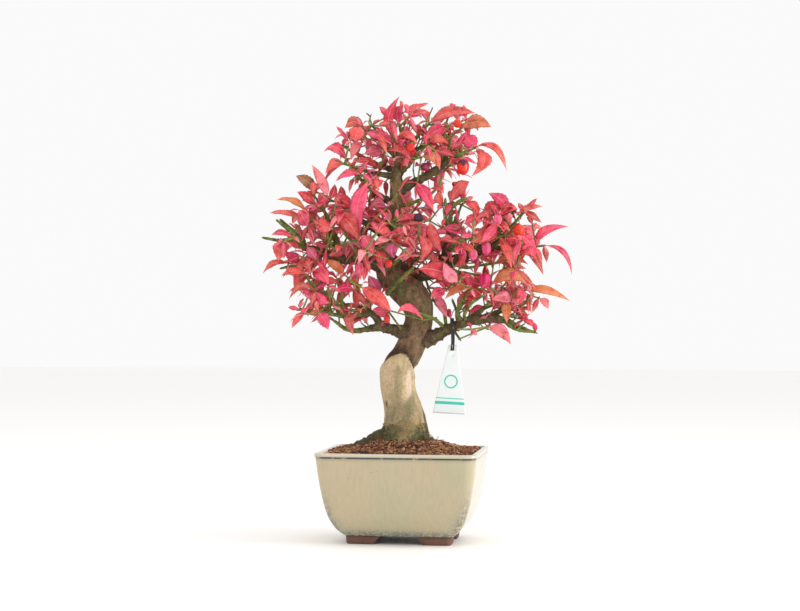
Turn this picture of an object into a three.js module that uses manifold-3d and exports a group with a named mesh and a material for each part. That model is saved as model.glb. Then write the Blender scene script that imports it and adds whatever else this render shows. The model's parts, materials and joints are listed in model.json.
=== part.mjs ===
// A euonymus grown as a bonsai: a bent old trunk with autumn leaves and fruit in a glazed stoneware pot,
// with a plain plastic tag hung on its lowest branch. Lengths are in millimetres and +Z is up.
// The pot's long side faces -Y and its feet stand on Z = 0.
import * as THREE from "three";
import { mergeVertices } from "three/addons/utils/BufferGeometryUtils.js";
import Module from "manifold-3d";

const wasm = await Module();
wasm.setup();

// Pot: its rim, its wall and its feet
const potWidth = 120;
const potDepth = 95;
const potHeight = 68;
const potWall = 4.6;
const potFloorTop = 11.5;
const potCorner = 8;
const lipHeight = 3;
const lipOverhang = 0.7;
const footHeight = 6.3;
const footInset = 20.4;
const footBand = 8;
const frontArch = { top: 26.6, bottom: 37.7 };
const sideArch = { top: 18, bottom: 26 };
const drainRadius = 6;
const drainSpacing = 44;

// How far the outside of the pot stands in from its rim, from the foot ring up to the lip
const potProfile = [
  { z: footHeight, inset: 19.4 },
  { z: 7.9, inset: 17.4 },
  { z: 11.6, inset: 13.8 },
  { z: 17, inset: 10.5 },
  { z: 23.5, inset: 7.8 },
  { z: 35, inset: 5 },
  { z: 48, inset: 2.7 },
  { z: potHeight - lipHeight, inset: lipOverhang },
];

// Soil and the mesh under it
const soilBelowRim = 2.2;
const soilMound = 13.5;
const soilMoundReach = 35;
const soilGrain = 0.7;
const meshSide = 20;
const meshThickness = 1;
const meshOpening = 3.6;
const meshPitch = 5.6;

// Gap between pieces that touch, and the least clearance between two sprays
const fitGap = 0.3;
const sprayClearance = 0.35;

// The tree is laid out as the eye sees it: x to the right, y away and z up, then turned on the pot.
const viewTurn = THREE.MathUtils.degToRad(9);

// Blades
const bladeThickness = 0.95;
const bladeFold = 0.28;
const shownBlade = [[0.22, 0.74], [0.5, 1], [0.78, 0.6]];
const rowBlade = [[0.34, 0.96], [0.7, 0.74]];

// Leaf, bark and fruit colours
const leafColours = {
  crimson: 0xc93752,
  magenta: 0xe23f7c,
  pink: 0xea5477,
  bright: 0xf2567e,
  coral: 0xe25f58,
  pale: 0xee8f8e,
  red: 0xcf3e3c,
  brick: 0xbc5648,
  orange: 0xd07f4a,
  olive: 0xa98256,
  violet: 0xb04a72,
};

// The trunk's course from below the soil to the tip: x, y, z and radius at each place
const trunk = [
    [1, 0, 59, 15], [1, 0, 68, 17.5], [1, 0, 77, 18.5], [1, 0, 84, 16.6], [0, 0, 94, 15],
    [-2, 0, 103, 13.4], [-4, 0, 112, 13], [-5, 0, 121, 12.8], [-4, 0, 130, 12.2], [1, 1, 138, 11.2],
    [6, 2, 147, 10.8], [10, 2, 157, 10.8], [12, 1, 166, 10.3], [11, -1, 175, 11.4],
    [7, -2, 182, 12], [-1, 0, 189, 11.2], [-9, 2, 196, 10], [-13, 3, 204, 8.2], [-13, 3, 214, 6.6],
    [-12, 2, 225, 5.6], [-9, 0, 238, 4.9], [-6, 0, 252, 4.9], [-5, 0, 263, 5], [-5, 0, 274, 4.2],
    [-3, 0, 285, 3.1], [-1, 0, 295, 2.1],
];

// Surface roots that run out from the trunk's foot into the soil
const roots = [
  [[-6, 0, 80, 12], [-17, -2, 75.5, 9.5], [-29, -4, 71, 7.5], [-39, -5, 67, 6], [-47, -6, 61, 4]],
  [[6, -5, 79, 10], [15, -13, 72.5, 7], [23, -19, 64, 4.5]],
  [[6, 5, 79, 10], [16, 12, 72.5, 7], [25, 18, 64, 4.5]],
  [[-3, 7, 79, 10], [-9, 17, 72.5, 7], [-15, 26, 64, 4.5]],
];

// Branches, each from inside the trunk or another branch to its end
const branches = {
  lowRight: [
    [15, -2, 149, 5.6], [27, -4, 155, 4.6], [38, -6, 160, 4.2], [49, -8, 164, 3.9],
    [62, -10, 166, 3.6], [74, -12, 165, 2.9], [83, -14, 161, 2.1], [91, -15, 158, 1.4],
  ],
  lowRightUpper: [[58, -9, 166, 2.8], [71, -4, 171, 2.2], [80, -6, 176, 1.7], [87, -8, 180, 1.2]],
  lowRightRiser: [[43, -7, 161, 2.6], [40, -9, 170, 2], [43, -11, 176, 1.6], [45, -12, 181, 1.2]],
  lowRightBack: [[48, -8, 164, 2.8], [56, 8, 170, 2.3], [64, 24, 176, 1.8], [71, 38, 180, 1.3]],
  lowLeft: [
    [3, -2, 155, 5], [-9, -5, 158, 4.2], [-18, -7, 160, 3.8], [-27, -9, 158, 2.4],
    [-36, -11, 157, 2.1], [-44, -12, 159, 1.7], [-51, -13, 164, 1.3],
  ],
  lowLeftFront: [
    [-17, -7, 160, 3.2], [-20, -10, 166, 2.8], [-24, -13, 170, 2.4], [-34, -16, 169, 2.1],
    [-45, -19, 168, 1.9], [-56, -21, 170, 1.6], [-70, -22, 172, 1.2],
  ],
  lowLeftBack: [
    [-20, -10, 166, 2.6], [-27, -1, 172, 2.2], [-39, 5, 176, 1.9], [-51, 10, 176, 1.6],
    [-60, 13, 180, 1.2],
  ],
  midLeft: [
    [-11, 3, 204, 6], [-25, -4, 208, 5], [-38, -9, 210, 4.7], [-49, -12, 212, 4.3],
    [-60, -14, 215, 3.6], [-71, -16, 218, 2.8], [-78, -17, 220, 1.9],
  ],
  midLeftBack: [[-24, -3, 207, 3.6], [-36, 12, 212, 2.8], [-47, 27, 217, 2.2], [-56, 40, 222, 1.5]],
  midLeftRiser: [
    [-44, -10, 211, 3], [-49, -13, 221, 2.4], [-53, -15, 233, 1.9], [-58, -15, 244, 1.5],
    [-63, -15, 252, 1.2],
  ],
  midLeftFork: [
    [-52, -14, 230, 1.8], [-59, -17, 232, 1.6], [-66, -18, 237, 1.4], [-71, -19, 241, 1.2],
  ],
  lowLeftRiser: [
    [-46, -18, 168, 2.2], [-51, -20, 178, 1.8], [-56, -20, 184, 1.5], [-62, -20, 187, 1.2],
  ],
  midRightFar: [[64, -6, 217, 2.4], [71, -12, 224, 1.8], [77, -14, 231, 1.5], [85, -15, 240, 1.2]],
  upperLeft: [[-12, 2, 225, 3.4], [-22, -7, 233, 2.6], [-34, -14, 240, 2.1], [-45, -19, 246, 1.4]],
  highLeftFront: [
    [-9, -1, 252, 3], [-21, -7, 260, 2.1], [-28, -11, 266, 1.7], [-35, -14, 272, 1.2],
  ],
  highLeft: [[-5, 0, 272, 2.8], [-18, -4, 274, 2.1], [-28, -8, 276, 1.7], [-38, -11, 279, 1.2]],
  highLeftBack: [[-4, 2, 276, 2.6], [-19, 9, 282, 2], [-32, 14, 289, 1.6], [-41, 17, 294, 1.2]],
  highRight: [
    [-5, 0, 261, 4.2], [6, -3, 267, 3.4], [15, -5, 271, 3.1], [27, -8, 278, 2.7],
    [36, -10, 285, 2.2], [47, -12, 290, 1.5],
  ],
  highRightRiser: [[26, -7, 277, 2.4], [32, -5, 287, 1.7], [34, -3, 295, 1.2]],
  highRightBack: [[6, -2, 267, 2.8], [16, 13, 274, 2.1], [26, 27, 282, 1.7], [34, 38, 288, 1.2]],
  crownGreen: [[-3, -1, 274, 2.4], [6, -9, 283, 1.7], [13, -14, 290, 1.2]],
  crownLeft: [[-3, 0, 285, 2.2], [-13, -3, 294, 1.7], [-20, -5, 305, 1.2]],
  crownMiddle: [[-1, 0, 294, 1.9], [-2, -3, 304, 1.1]],
  crownRight: [[-2, 0, 291, 2], [8, 4, 300, 1.5], [15, 6, 308, 1.1]],
  crownFarRight: [[-3, 0, 286, 2.2], [11, 9, 294, 1.8], [23, 15, 302, 1.3]],
  crownBack: [[-3, 1, 280, 2.3], [-5, 17, 290, 1.7], [-8, 31, 298, 1.2]],
  midRight: [
    [-12, 3, 209, 6.2], [-1, 8, 203, 5.8], [11, 8, 199, 5.4], [23, 5, 201, 5.2], [33, 2, 206, 4.8],
    [44, 0, 212, 4.2], [54, -3, 216, 3.4], [64, -6, 217, 2.7], [76, -8, 219, 2.1],
    [90, -10, 219, 1.4],
  ],
  midRightRiser: [
    [29, 4, 203, 4.2], [32, 2, 216, 3.4], [34, 0, 226, 2.7], [38, -3, 237, 1.9], [41, -5, 245, 1.3],
  ],
  midRightBack: [[39, 1, 209, 3.4], [50, 16, 215, 2.5], [61, 32, 222, 1.9], [71, 45, 227, 1.3]],
  midRightFront: [[21, 6, 200, 3.4], [28, -8, 202, 2.6], [34, -20, 200, 2], [39, -28, 197, 1.4]],
  midRightUpper: [[56, -3, 217, 2.8], [64, -8, 226, 2.1], [72, -12, 235, 1.6], [78, -14, 241, 1.1]],
  backMiddle: [[-12, 2, 220, 4.2], [-8, 18, 227, 3.3], [-4, 34, 234, 2.5], [1, 48, 240, 1.6]],
  backLeft: [[-13, 3, 215, 3.8], [-21, 18, 222, 2.8], [-30, 33, 228, 2.1], [-38, 46, 233, 1.4]],
  backLow: [[-2, 3, 190, 4.4], [1, 19, 201, 3.2], [6, 35, 209, 2.3], [12, 48, 216, 1.5]],
  frontMiddle: [[-9, 0, 233, 3.2], [-6, -14, 235, 2.4], [-2, -27, 230, 1.8], [1, -37, 227, 1.2]],
  frontRight: [[32, 2, 216, 3], [37, -13, 219, 2.2], [42, -26, 222, 1.6], [47, -35, 225, 1.2]],
  frontLeft: [[-37, -9, 210, 3], [-34, -21, 213, 2.2], [-32, -31, 213, 1.6], [-30, -39, 214, 1.2]],
};

// Bare twigs that are part of the wood
const woodTwigs = [
  [[31, -5, 159, 1.6], [22, -15, 166, 1.4], [11, -18, 170, 1.2], [0, -16, 173, 0.9]],
  [[-3, -4, 188, 2.4], [-12, -12, 185, 2], [-3, -17, 194, 1.7], [8, -18, 204, 1.3]],
  [
    [-6, 0, 250, 1.9], [6, -5, 252, 1.5], [19, -8, 258, 1.2], [26, -8, 265, 1.1],
    [29, -8, 273, 0.8],
  ],
  [[-11, 0, 204, 2.2], [-6, -8, 208, 1.6], [0, -9, 215, 1.4], [6, -8, 221, 1.1]],
  [[36, 1, 207, 1.6], [47, -7, 204, 1.2], [60, -9, 206, 1.1], [75, -12, 208, 0.8]],
  [[33, 2, 206, 1.6], [40, -6, 201, 1.2], [47, -8, 200, 1], [57, -10, 198, 0.8]],
  [[44, -7, 163, 1.6], [40, -13, 171, 1.3], [43, -15, 181, 1]],
  [[41, -6, 162, 1.6], [40, -6, 170, 1.3], [36, -6, 181, 0.9]],
  [[47, -8, 164, 1.6], [45, -14, 169, 1.4], [50, -18, 177, 1.2], [60, -22, 184, 0.9]],
  [[32, -5, 160, 1.6], [30, 0, 170, 1.2], [24, 3, 178, 1], [19, 5, 181, 0.8]],
  [[74, -12, 165, 1.8], [83, -17, 158, 1.4], [98, -19, 156, 1.1]],
  [[71, -11, 166, 1.6], [79, -16, 168, 1.2], [87, -18, 168, 0.9]],
  [[34, 0, 228, 2], [32, -5, 238, 1.5], [31, -7, 256, 1.1]],
  [[36, -1, 232, 2], [35, -7, 246, 1.6], [40, -9, 252, 1.6], [47, -11, 256, 1.4]],
  [[-74, -16, 219, 1.9], [-79, -19, 227, 1.6], [-87, -20, 233, 1.3], [-94, -22, 239, 1]],
  [[-72, -16, 218, 1.9], [-76, -13, 227, 1.6], [-84, -12, 233, 1.3], [-92, -12, 240, 1]],
  [[-74, -16, 219, 1.7], [-83, -16, 224, 1.4], [-94, -17, 224, 1.3], [-105, -17, 226, 1]],
  [[-68, -15, 218, 1.7], [-72, -14, 210, 1.4], [-79, -13, 206, 1.3], [-92, -13, 203, 1]],
  [[-49, -13, 220, 1.8], [-54, -19, 222, 1.4], [-56, -21, 228, 1.3], [-56, -21, 234, 1]],
  [[-47, -11, 212, 1.8], [-52, -19, 216, 1.5], [-43, -26, 221, 1.4], [-33, -30, 223, 1]],
  [[-43, -19, 168, 1.7], [-46, -15, 179, 1.4], [-47, -14, 194, 1]],
];

// How many sprays stand on the side of a branch
const sideSprays = {
  lowRight: 2,
  lowRightBack: 1,
  lowLeftFront: 1,
  midLeft: 2,
  midLeftBack: 1,
  highRightBack: 1,
  midRight: 2,
  midRightBack: 1,
  backMiddle: 1,
  backLeft: 1,
  backLow: 1,
  upperLeft: 1,
  crownBack: 1,
};
const sideTurn = 2.4;
const bareEnds = ["midLeft"];
const trunkSides = 11;

// Twigs of this year: their thickness, and how a spray starts
const twigRadius = 1.1;
const twigTip = 0.8;
const budLength = 1.2;
const rootLength = 7;
const nodeLength = 1.8;
const jointReach = 3;
const longLeaf = 19;
const twigsPerSpray = { near: 2, far: 3 };
const leavesPerSpray = { near: 4, far: 7 };
const ruleTwig = { length: [9, 18], lean: 0.55, rise: 0.4 };
const ruleLeaf = { length: [15, 31], droop: [0.05, 0.55], slimness: [0.31, 0.43], lean: 0.35, rise: 0.25 };
const twigSeed = 1000;
const leafSeed = 5000;

// What grows on a spray takes the nearest open face of it: millimetres charged for a face turned away,
// the least that a leaf's face looks along the leaf, and how many sprays are tried
const turnCost = 14;
const leastFacing = 0.15;
const spraysTried = 3;
const rowColours = ["coral", "pink", "magenta", "crimson", "red", "bright", "pale", "brick"];
const shownFront = -16;

// Bare tips that the eye picks out, each from the nearest joint of a spray
const shownTwigs = [
  [[-24, -5, 310], [-25, -6, 316], [-28, -7, 319]],
  [[-25, -6, 315], [-24, -4, 319]],
  [[-3, -3, 306], [-4, -5, 316]],
  [[-1, -2, 306], [2, -1, 318]],
  [[16, 5, 310], [22, 3, 325]],
  [[35, -4, 294], [44, -6, 302]],
  [[31, -3, 300], [32, -4, 308], [40, -7, 314]],
  [[-40, -12, 279], [-51, -15, 283]],
  [[-41, 17, 294], [-47, 17, 298]],
  [[-35, -14, 271], [-39, -13, 265]],
  [[-74, -22, 174], [-78, -23, 176]],
  [[-74, -22, 172], [-79, -24, 172]],
];

// Leaves that the eye picks out: base, middle and tip of the midrib, width, how far the face is turned
// up from the eye in degrees, and colour
const shownLeaves = [
  [[-8, -4, 302], [-11, -7, 316], [-3, -8, 331], 8, 50, "crimson"],
  [[-12, -4, 317], [-15, -6, 321], [-18, -6, 324], 5, 30, "pink"],
  [[-2, -3, 312], [-5, -6, 320], [0, -8, 325], 9, 20, "magenta"],
  [[0, -2, 320], [8, -4, 323], [19, -4, 327], 8, 45, "coral"],
  [[3, 0, 316], [12, 0, 320], [20, 3, 321], 7, 45, "coral"],
  [[-28, -6, 304], [-37, -8, 312], [-44, -9, 307], 12, 35, "brick"],
  [[-32, -9, 309], [-35, -12, 303], [-36, -12, 297], 12, 10, "coral"],
  [[-6, -8, 295], [-17, -12, 301], [-28, -14, 304], 10, 15, "pink"],
  [[-7, -12, 298], [2, -15, 302], [11, -16, 294], 9, 40, "coral"],
  [[-13, -10, 289], [-4, -15, 292], [5, -18, 284], 9, 45, "coral"],
  [[-41, -10, 283], [-50, -12, 293], [-59, -12, 290], 9, 25, "pink"],
  [[-44, -12, 280], [-51, -15, 281], [-58, -16, 273], 9, 30, "coral"],
  [[-31, -14, 272], [-41, -16, 273], [-50, -17, 267], 7, 35, "pink"],
  [[-18, -6, 276], [-27, -9, 283], [-37, -10, 282], 9, 40, "coral"],
  [[-31, -6, 297], [-36, -8, 293], [-39, -9, 284], 8, 35, "pale"],
  [[-16, -8, 293], [-22, -11, 290], [-29, -12, 288], 11, 15, "violet"],
  [[-26, -16, 267], [-34, -21, 248], [-33, -24, 225], 12.5, 8, "bright"],
  [[-65, -10, 261], [-72, -12, 268], [-80, -12, 272], 9, 20, "olive"],
  [[-55, -12, 256], [-61, -14, 268], [-68, -14, 280], 8, 30, "pale"],
  [[-66, -12, 250], [-71, -14, 256], [-79, -14, 260], 9, 25, "red"],
  [[-71, -14, 244], [-81, -16, 253], [-94, -16, 254], 7, 45, "orange"],
  [[-74, -15, 240], [-87, -18, 244], [-99, -18, 244], 6, 40, "coral"],
  [[-54, -10, 254], [-52, -10, 260], [-51, -9, 266], 6, 30, "crimson"],
  [[-24, -8, 261], [-20, -7, 266], [-15, -4, 269], 8, 25, "coral"],
  [[21, 8, 315], [35, 4, 321], [54, 2, 320], 12, 35, "coral"],
  [[43, -8, 308], [54, -11, 312], [65, -12, 308], 12.5, 25, "orange"],
  [[32, 4, 310], [24, -1, 306], [14, -4, 299], 11, 20, "magenta"],
  [[55, -10, 294], [49, -9, 298], [44, -6, 304], 12, 20, "pink"],
  [[55, -11, 295], [68, -15, 292], [76, -17, 275], 7, 40, "coral"],
  [[54, -12, 290], [60, -16, 283], [50, -18, 271], 11, 10, "coral"],
  [[24, -8, 290], [31, -11, 289], [37, -12, 286], 7, 40, "crimson"],
  [[18, -2, 297], [25, -5, 300], [33, -6, 296], 10, 30, "coral"],
  [[12, -13, 285], [20, -16, 286], [25, -18, 278], 9, 40, "orange"],
  [[10, -8, 266], [16, -12, 258], [22, -14, 246], 10, 20, "magenta"],
  [[34, -5, 252], [42, -8, 264], [49, -8, 268], 9.5, 20, "coral"],
  [[28, -4, 250], [26, -6, 256], [28, -6, 262], 7, 20, "coral"],
  [[46, -6, 253], [52, -10, 250], [56, -12, 242], 7.5, 30, "coral"],
  [[77, -14, 244], [72, -14, 254], [63, -12, 259], 10, 20, "magenta"],
  [[61, -12, 241], [66, -12, 248], [76, -10, 252], 12, 15, "crimson"],
  [[70, -15, 241], [77, -18, 248], [84, -18, 247], 10, 25, "crimson"],
  [[85, -14, 243], [93, -14, 248], [103, -12, 249], 7, 45, "coral"],
  [[88, -14, 243], [95, -16, 242], [102, -16, 237], 6.5, 30, "brick"],
  [[96, -12, 222], [105, -15, 231], [122, -16, 234], 8, 30, "pink"],
  [[105, -13, 220], [118, -18, 215], [124, -20, 198], 4.5, 20, "pink"],
  [[89, -14, 218], [97, -18, 211], [103, -20, 198], 6.5, 20, "brick"],
  [[88, -15, 218], [95, -18, 216], [94, -20, 209], 8, 20, "pink"],
  [[65, -16, 190], [77, -20, 199], [91, -22, 191], 12, 25, "orange"],
  [[89, -10, 187], [105, -14, 187], [123, -16, 179], 8, 35, "orange"],
  [[101, -12, 181], [105, -14, 178], [107, -14, 173], 6, 20, "pale"],
  [[84, -14, 189], [87, -17, 183], [81, -18, 175], 8.5, 10, "pink"],
  [[40, -22, 194], [25, -28, 201], [11, -32, 202], 14.5, 5, "red"],
  [[39, -23, 192], [33, -26, 198], [29, -26, 207], 10, 15, "pale"],
  [[50, -20, 188], [40, -25, 188], [30, -28, 180], 8.5, 45, "orange"],
  [[31, -14, 187], [25, -17, 185], [20, -18, 182], 9, 20, "pink"],
  [[58, -10, 192], [49, -13, 194], [42, -14, 202], 8, 20, "crimson"],
  [[60, -12, 187], [51, -15, 184], [42, -16, 183], 11, 25, "coral"],
  [[80, -12, 180], [74, -16, 182], [65, -18, 180], 11, 25, "pale"],
  [[75, -10, 180], [76, -14, 172], [76, -16, 163], 8, 15, "orange"],
  [[71, -6, 183], [78, -9, 178], [82, -10, 171], 10, 15, "coral"],
  [[63, -12, 160], [72, -17, 157], [79, -20, 147], 9.5, 5, "pale"],
  [[85, -10, 172], [88, -13, 167], [94, -14, 170], 6, 25, "pink"],
  [[90, -12, 165], [94, -14, 163], [97, -15, 160], 5, 20, "pink"],
  [[49, -10, 158], [52, -13, 156], [54, -14, 154], 5, 20, "pale"],
  [[19, -10, 238], [22, -16, 226], [28, -20, 215], 9.5, 15, "coral"],
  [[10, -10, 236], [3, -15, 241], [-6, -18, 237], 8, 45, "pink"],
  [[29, -10, 233], [39, -15, 232], [47, -18, 228], 9, 25, "pink"],
  [[58, -12, 240], [51, -16, 240], [45, -18, 236], 8, 25, "crimson"],
  [[70, -16, 235], [61, -21, 228], [49, -24, 222], 13, 15, "coral"],
  [[68, -20, 236], [63, -24, 229], [57, -26, 222], 8, 10, "bright"],
  [[71, -14, 226], [76, -19, 217], [79, -22, 203], 8, 15, "coral"],
  [[67, -12, 208], [80, -15, 211], [92, -16, 206], 9, 30, "orange"],
  [[75, -10, 203], [82, -12, 205], [91, -12, 203], 8, 30, "pale"],
  [[55, -12, 212], [63, -15, 213], [71, -16, 214], 7.5, 25, "crimson"],
  [[11, -20, 227], [17, -25, 219], [12, -28, 208], 10, 15, "coral"],
  [[7, -6, 219], [2, -9, 214], [-1, -10, 208], 8, 15, "pale"],
  [[76, -16, 227], [80, -19, 224], [85, -20, 222], 8, 15, "pink"],
  [[97, -13, 220], [91, -16, 224], [87, -16, 228], 9, 15, "pink"],
  [[82, -14, 203], [89, -17, 197], [97, -18, 188], 5, 20, "brick"],
  [[-52, -14, 244], [-40, -17, 236], [-34, -18, 224], 13.5, 5, "red"],
  [[-52, -16, 231], [-59, -19, 234], [-66, -20, 238], 11, 15, "coral"],
  [[-70, -17, 233], [-74, -20, 240], [-77, -20, 246], 10, 15, "pink"],
  [[-82, -18, 225], [-90, -20, 229], [-97, -20, 227], 6.5, 40, "crimson"],
  [[-86, -18, 222], [-91, -22, 217], [-92, -24, 208], 11.5, 8, "coral"],
  [[-77, -16, 207], [-82, -18, 211], [-88, -18, 215], 8.5, 15, "magenta"],
  [[-86, -14, 207], [-96, -17, 207], [-104, -18, 199], 6, 35, "coral"],
  [[-78, -18, 207], [-72, -22, 208], [-68, -24, 199], 10, 15, "crimson"],
  [[-72, -18, 199], [-81, -21, 201], [-90, -22, 197], 6.5, 35, "coral"],
  [[-69, -16, 200], [-76, -20, 195], [-80, -22, 188], 6.5, 25, "coral"],
  [[-65, -20, 187], [-75, -24, 190], [-84, -26, 180], 6.5, 35, "brick"],
  [[-67, -18, 202], [-60, -23, 199], [-55, -26, 191], 11.5, 10, "pink"],
  [[-49, -12, 194], [-53, -15, 194], [-57, -16, 190], 7, 25, "coral"],
  [[-16, -20, 200], [-31, -25, 208], [-46, -28, 207], 11.5, 30, "magenta"],
  [[-43, -16, 199], [-50, -16, 205], [-59, -14, 210], 8, 25, "orange"],
  [[-31, -24, 227], [-26, -29, 221], [-22, -32, 214], 10.5, 10, "bright"],
  [[-40, -16, 224], [-42, -21, 218], [-42, -24, 211], 9, 10, "violet"],
  [[-64, -20, 210], [-68, -22, 215], [-71, -22, 219], 9, 20, "violet"],
  [[-16, -12, 185], [-22, -15, 191], [-26, -16, 198], 9.5, 15, "violet"],
  [[-31, -22, 189], [-20, -28, 182], [-9, -32, 171], 11.5, 10, "coral"],
  [[-37, -14, 187], [-43, -18, 189], [-51, -20, 186], 9, 25, "magenta"],
  [[-54, -16, 178], [-63, -19, 181], [-73, -20, 183], 10, 20, "pink"],
  [[-63, -22, 170], [-58, -26, 165], [-55, -28, 158], 9.5, 8, "pink"],
  [[-72, -22, 171], [-78, -25, 166], [-82, -26, 159], 5.5, 20, "coral"],
  [[-40, -18, 172], [-40, -23, 164], [-37, -26, 154], 7.5, 8, "brick"],
  [[-35, -14, 171], [-30, -16, 168], [-27, -16, 162], 6, 15, "pale"],
  [[-11, -14, 171], [-17, -18, 171], [-23, -20, 173], 9, 20, "pink"],
  [[15, -20, 165], [4, -26, 174], [-5, -30, 170], 8, 35, "bright"],
  [[-9, -36, 225], [-3, -40, 228], [4, -42, 232], 9.5, 20, "red"],
  [[-9, -36, 226], [-15, -38, 230], [-22, -38, 232], 8, 25, "coral"],
  [[-10, -37, 223], [-16, -40, 223], [-21, -42, 219], 6.5, 30, "pale"],
  [[-6, -36, 221], [-9, -39, 216], [-7, -40, 210], 9.5, 12, "violet"],
  [[-21, -26, 216], [-17, -30, 211], [-16, -32, 202], 8.5, 15, "red"],
  [[-14, -10, 236], [-21, -13, 241], [-28, -14, 241], 7, 40, "crimson"],
  [[-12, -10, 249], [-19, -13, 252], [-26, -14, 246], 10, 20, "violet"],
  [[-38, -14, 248], [-45, -16, 253], [-51, -16, 254], 11, 15, "red"],
  [[-58, -12, 248], [-60, -13, 254], [-63, -12, 258], 8, 10, "pink"],
];

// Fruit: its middle, and its half width and half height
const fruits = [
  [[44, -13, 278], [4.7, 6.2]],
  [[5, -20, 292], [3.6, 3.8]],
  [[40, -10, 311], [3.8, 3.4]],
  [[85, -20, 231], [4.6, 4.8]],
  [[-11, -36, 206], [2.9, 3.2]],
  [[-12, -18, 166], [2.4, 3.8]],
  [[60, -20, 194], [4.6, 6.2]],
  [[43, -26, 213], [3.2, 5]],
  [[51, -24, 213], [4.2, 4.6]],
  [[61, -24, 218], [3.8, 5.4]],
  [[16, -8, 279], [3.8, 3.6]],
  [[11, -16, 240], [4.6, 4.2]],
  [[69, -22, 239], [3.6, 4.4]],
];

// The crown's outline, widening and narrowing with height: z, left, right and half the depth
const crownMiddle = 5;
const crownOutline = [
  [148, -58, 78, 42],
  [165, -82, 97, 60],
  [180, -86, 108, 68],
  [200, -98, 106, 76],
  [225, -100, 118, 80],
  [245, -92, 98, 72],
  [262, -66, 54, 62],
  [282, -52, 66, 58],
  [304, -44, 62, 48],
  [318, -20, 52, 34],
  [332, -6, 24, 16],
];

// The tag hangs under the low right branch and the tie goes round it
const tag = {
  x: 36.5,
  y: -5.6,
  top: 146.5,
  height: 51.5,
  topWidth: 6.5,
  bottomWidth: 25,
  thickness: 0.9,
  slotHeight: 46,
  slotWidth: 3.2,
  slotLength: 5,
};
const tie = { radius: 0.7, top: 166, branchHalf: 8, slotHalf: 2 };

// A closed solid from its points and faces, turned to face outwards.
function solidFrom(points, faces) {
  const volume = faces.reduce((sum, [a, b, c]) => {
    return sum + points[a].dot(new THREE.Vector3().crossVectors(points[b], points[c]));
  }, 0);
  const turned = volume < 0 ? faces.map(([a, b, c]) => [a, c, b]) : faces;
  return new wasm.Manifold(
    new wasm.Mesh({
      numProp: 3,
      vertProperties: new Float32Array(points.flatMap((p) => [p.x, p.y, p.z])),
      triVerts: new Uint32Array(turned.flat()),
    }),
  );
}

// The same from a three.js geometry.
function solidOf(geometry) {
  const bare = geometry.clone();
  bare.deleteAttribute("normal");
  bare.deleteAttribute("uv");
  const merged = mergeVertices(bare, 1e-3);
  const place = merged.attributes.position;
  const points = Array.from({ length: place.count }, (_, i) => {
    return new THREE.Vector3().fromBufferAttribute(place, i);
  });
  const index = merged.index.array;
  const faces = Array.from({ length: index.length / 3 }, (_, i) => {
    return [index[3 * i], index[3 * i + 1], index[3 * i + 2]];
  });
  return solidFrom(points, faces);
}

// A skin over rings of points, alike in number, or a single point at either end. The quads of two
// neighbouring strips are cut by opposite diagonals, so that both faces of a blade are split alike.
function skin(rings, joinEnds = false) {
  const points = rings.flat();
  const starts = rings.map((_, i) => rings.slice(0, i).reduce((sum, ring) => sum + ring.length, 0));
  const faces = [];
  const spans = joinEnds ? rings.length : rings.length - 1;
  for (let i = 0; i < spans; i += 1) {
    const next = (i + 1) % rings.length;
    const sides = Math.max(rings[i].length, rings[next].length);
    for (let j = 0; j < sides; j += 1) {
      const k = (j + 1) % sides;
      const low = [j, k].map((n) => starts[i] + (rings[i].length === 1 ? 0 : n));
      const high = [j, k].map((n) => starts[next] + (rings[next].length === 1 ? 0 : n));
      if (rings[next].length === 1) {
        faces.push([low[0], low[1], high[0]]);
      } else if (rings[i].length === 1) {
        faces.push([low[0], high[1], high[0]]);
      } else if (j % 2 === 0) {
        faces.push([low[0], low[1], high[1]], [low[0], high[1], high[0]]);
      } else {
        faces.push([low[0], low[1], high[0]], [low[1], high[1], high[0]]);
      }
    }
  }
  if (!joinEnds) {
    const last = rings.length - 1;
    for (let j = 1; j < rings[0].length - 1; j += 1) {
      faces.push([starts[0], starts[0] + j + 1, starts[0] + j]);
    }
    for (let j = 1; j < rings[last].length - 1; j += 1) {
      faces.push([starts[last], starts[last] + j, starts[last] + j + 1]);
    }
  }
  return solidFrom(points, faces);
}

function join(solids) {
  return solids.reduce((sum, solid) => sum.add(solid));
}

// The mesh of a finished solid, with its own matt or glossy finish.
function meshOf(name, solid, colour, roughness, metalness = 0) {
  const made = solid.getMesh();
  const geometry = new THREE.BufferGeometry();
  geometry.setAttribute("position", new THREE.BufferAttribute(made.vertProperties, 3));
  geometry.setIndex(new THREE.BufferAttribute(made.triVerts, 1));
  geometry.computeVertexNormals();
  const mesh = new THREE.Mesh(
    geometry,
    new THREE.MeshStandardMaterial({ color: colour, roughness, metalness }),
  );
  mesh.name = name;
  return mesh;
}

// Pot

// A rectangle with round corners, standing in from the rim by the inset, at height z.
function potRing(z, inset, corner, steps = 5) {
  const radius = Math.max(corner, 1.5);
  const halfX = potWidth / 2 - inset - radius;
  const halfY = potDepth / 2 - inset - radius;
  const signs = [[1, 1], [-1, 1], [-1, -1], [1, -1]];
  return signs.flatMap(([sx, sy], quarter) => {
    return Array.from({ length: steps }, (_, i) => {
      const angle = (quarter + i / (steps - 1)) * (Math.PI / 2);
      return new THREE.Vector3(
        sx * halfX + radius * Math.cos(angle),
        sy * halfY + radius * Math.sin(angle),
        z,
      );
    });
  });
}

// How far the inside of the wall stands in from the rim, one wall behind the outside.
function insideInset(z) {
  const above = potProfile.findIndex((place) => place.z >= z);
  if (above < 0) {
    return potWall + lipOverhang;
  }
  const high = potProfile[above];
  const low = potProfile[Math.max(above - 1, 0)];
  const share = high.z === low.z ? 0 : (z - low.z) / (high.z - low.z);
  return low.inset + (high.inset - low.inset) * share + potWall;
}

const cavityHeights = [potFloorTop, 17, 25, 38, 52, potHeight - lipHeight, potHeight];

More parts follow.
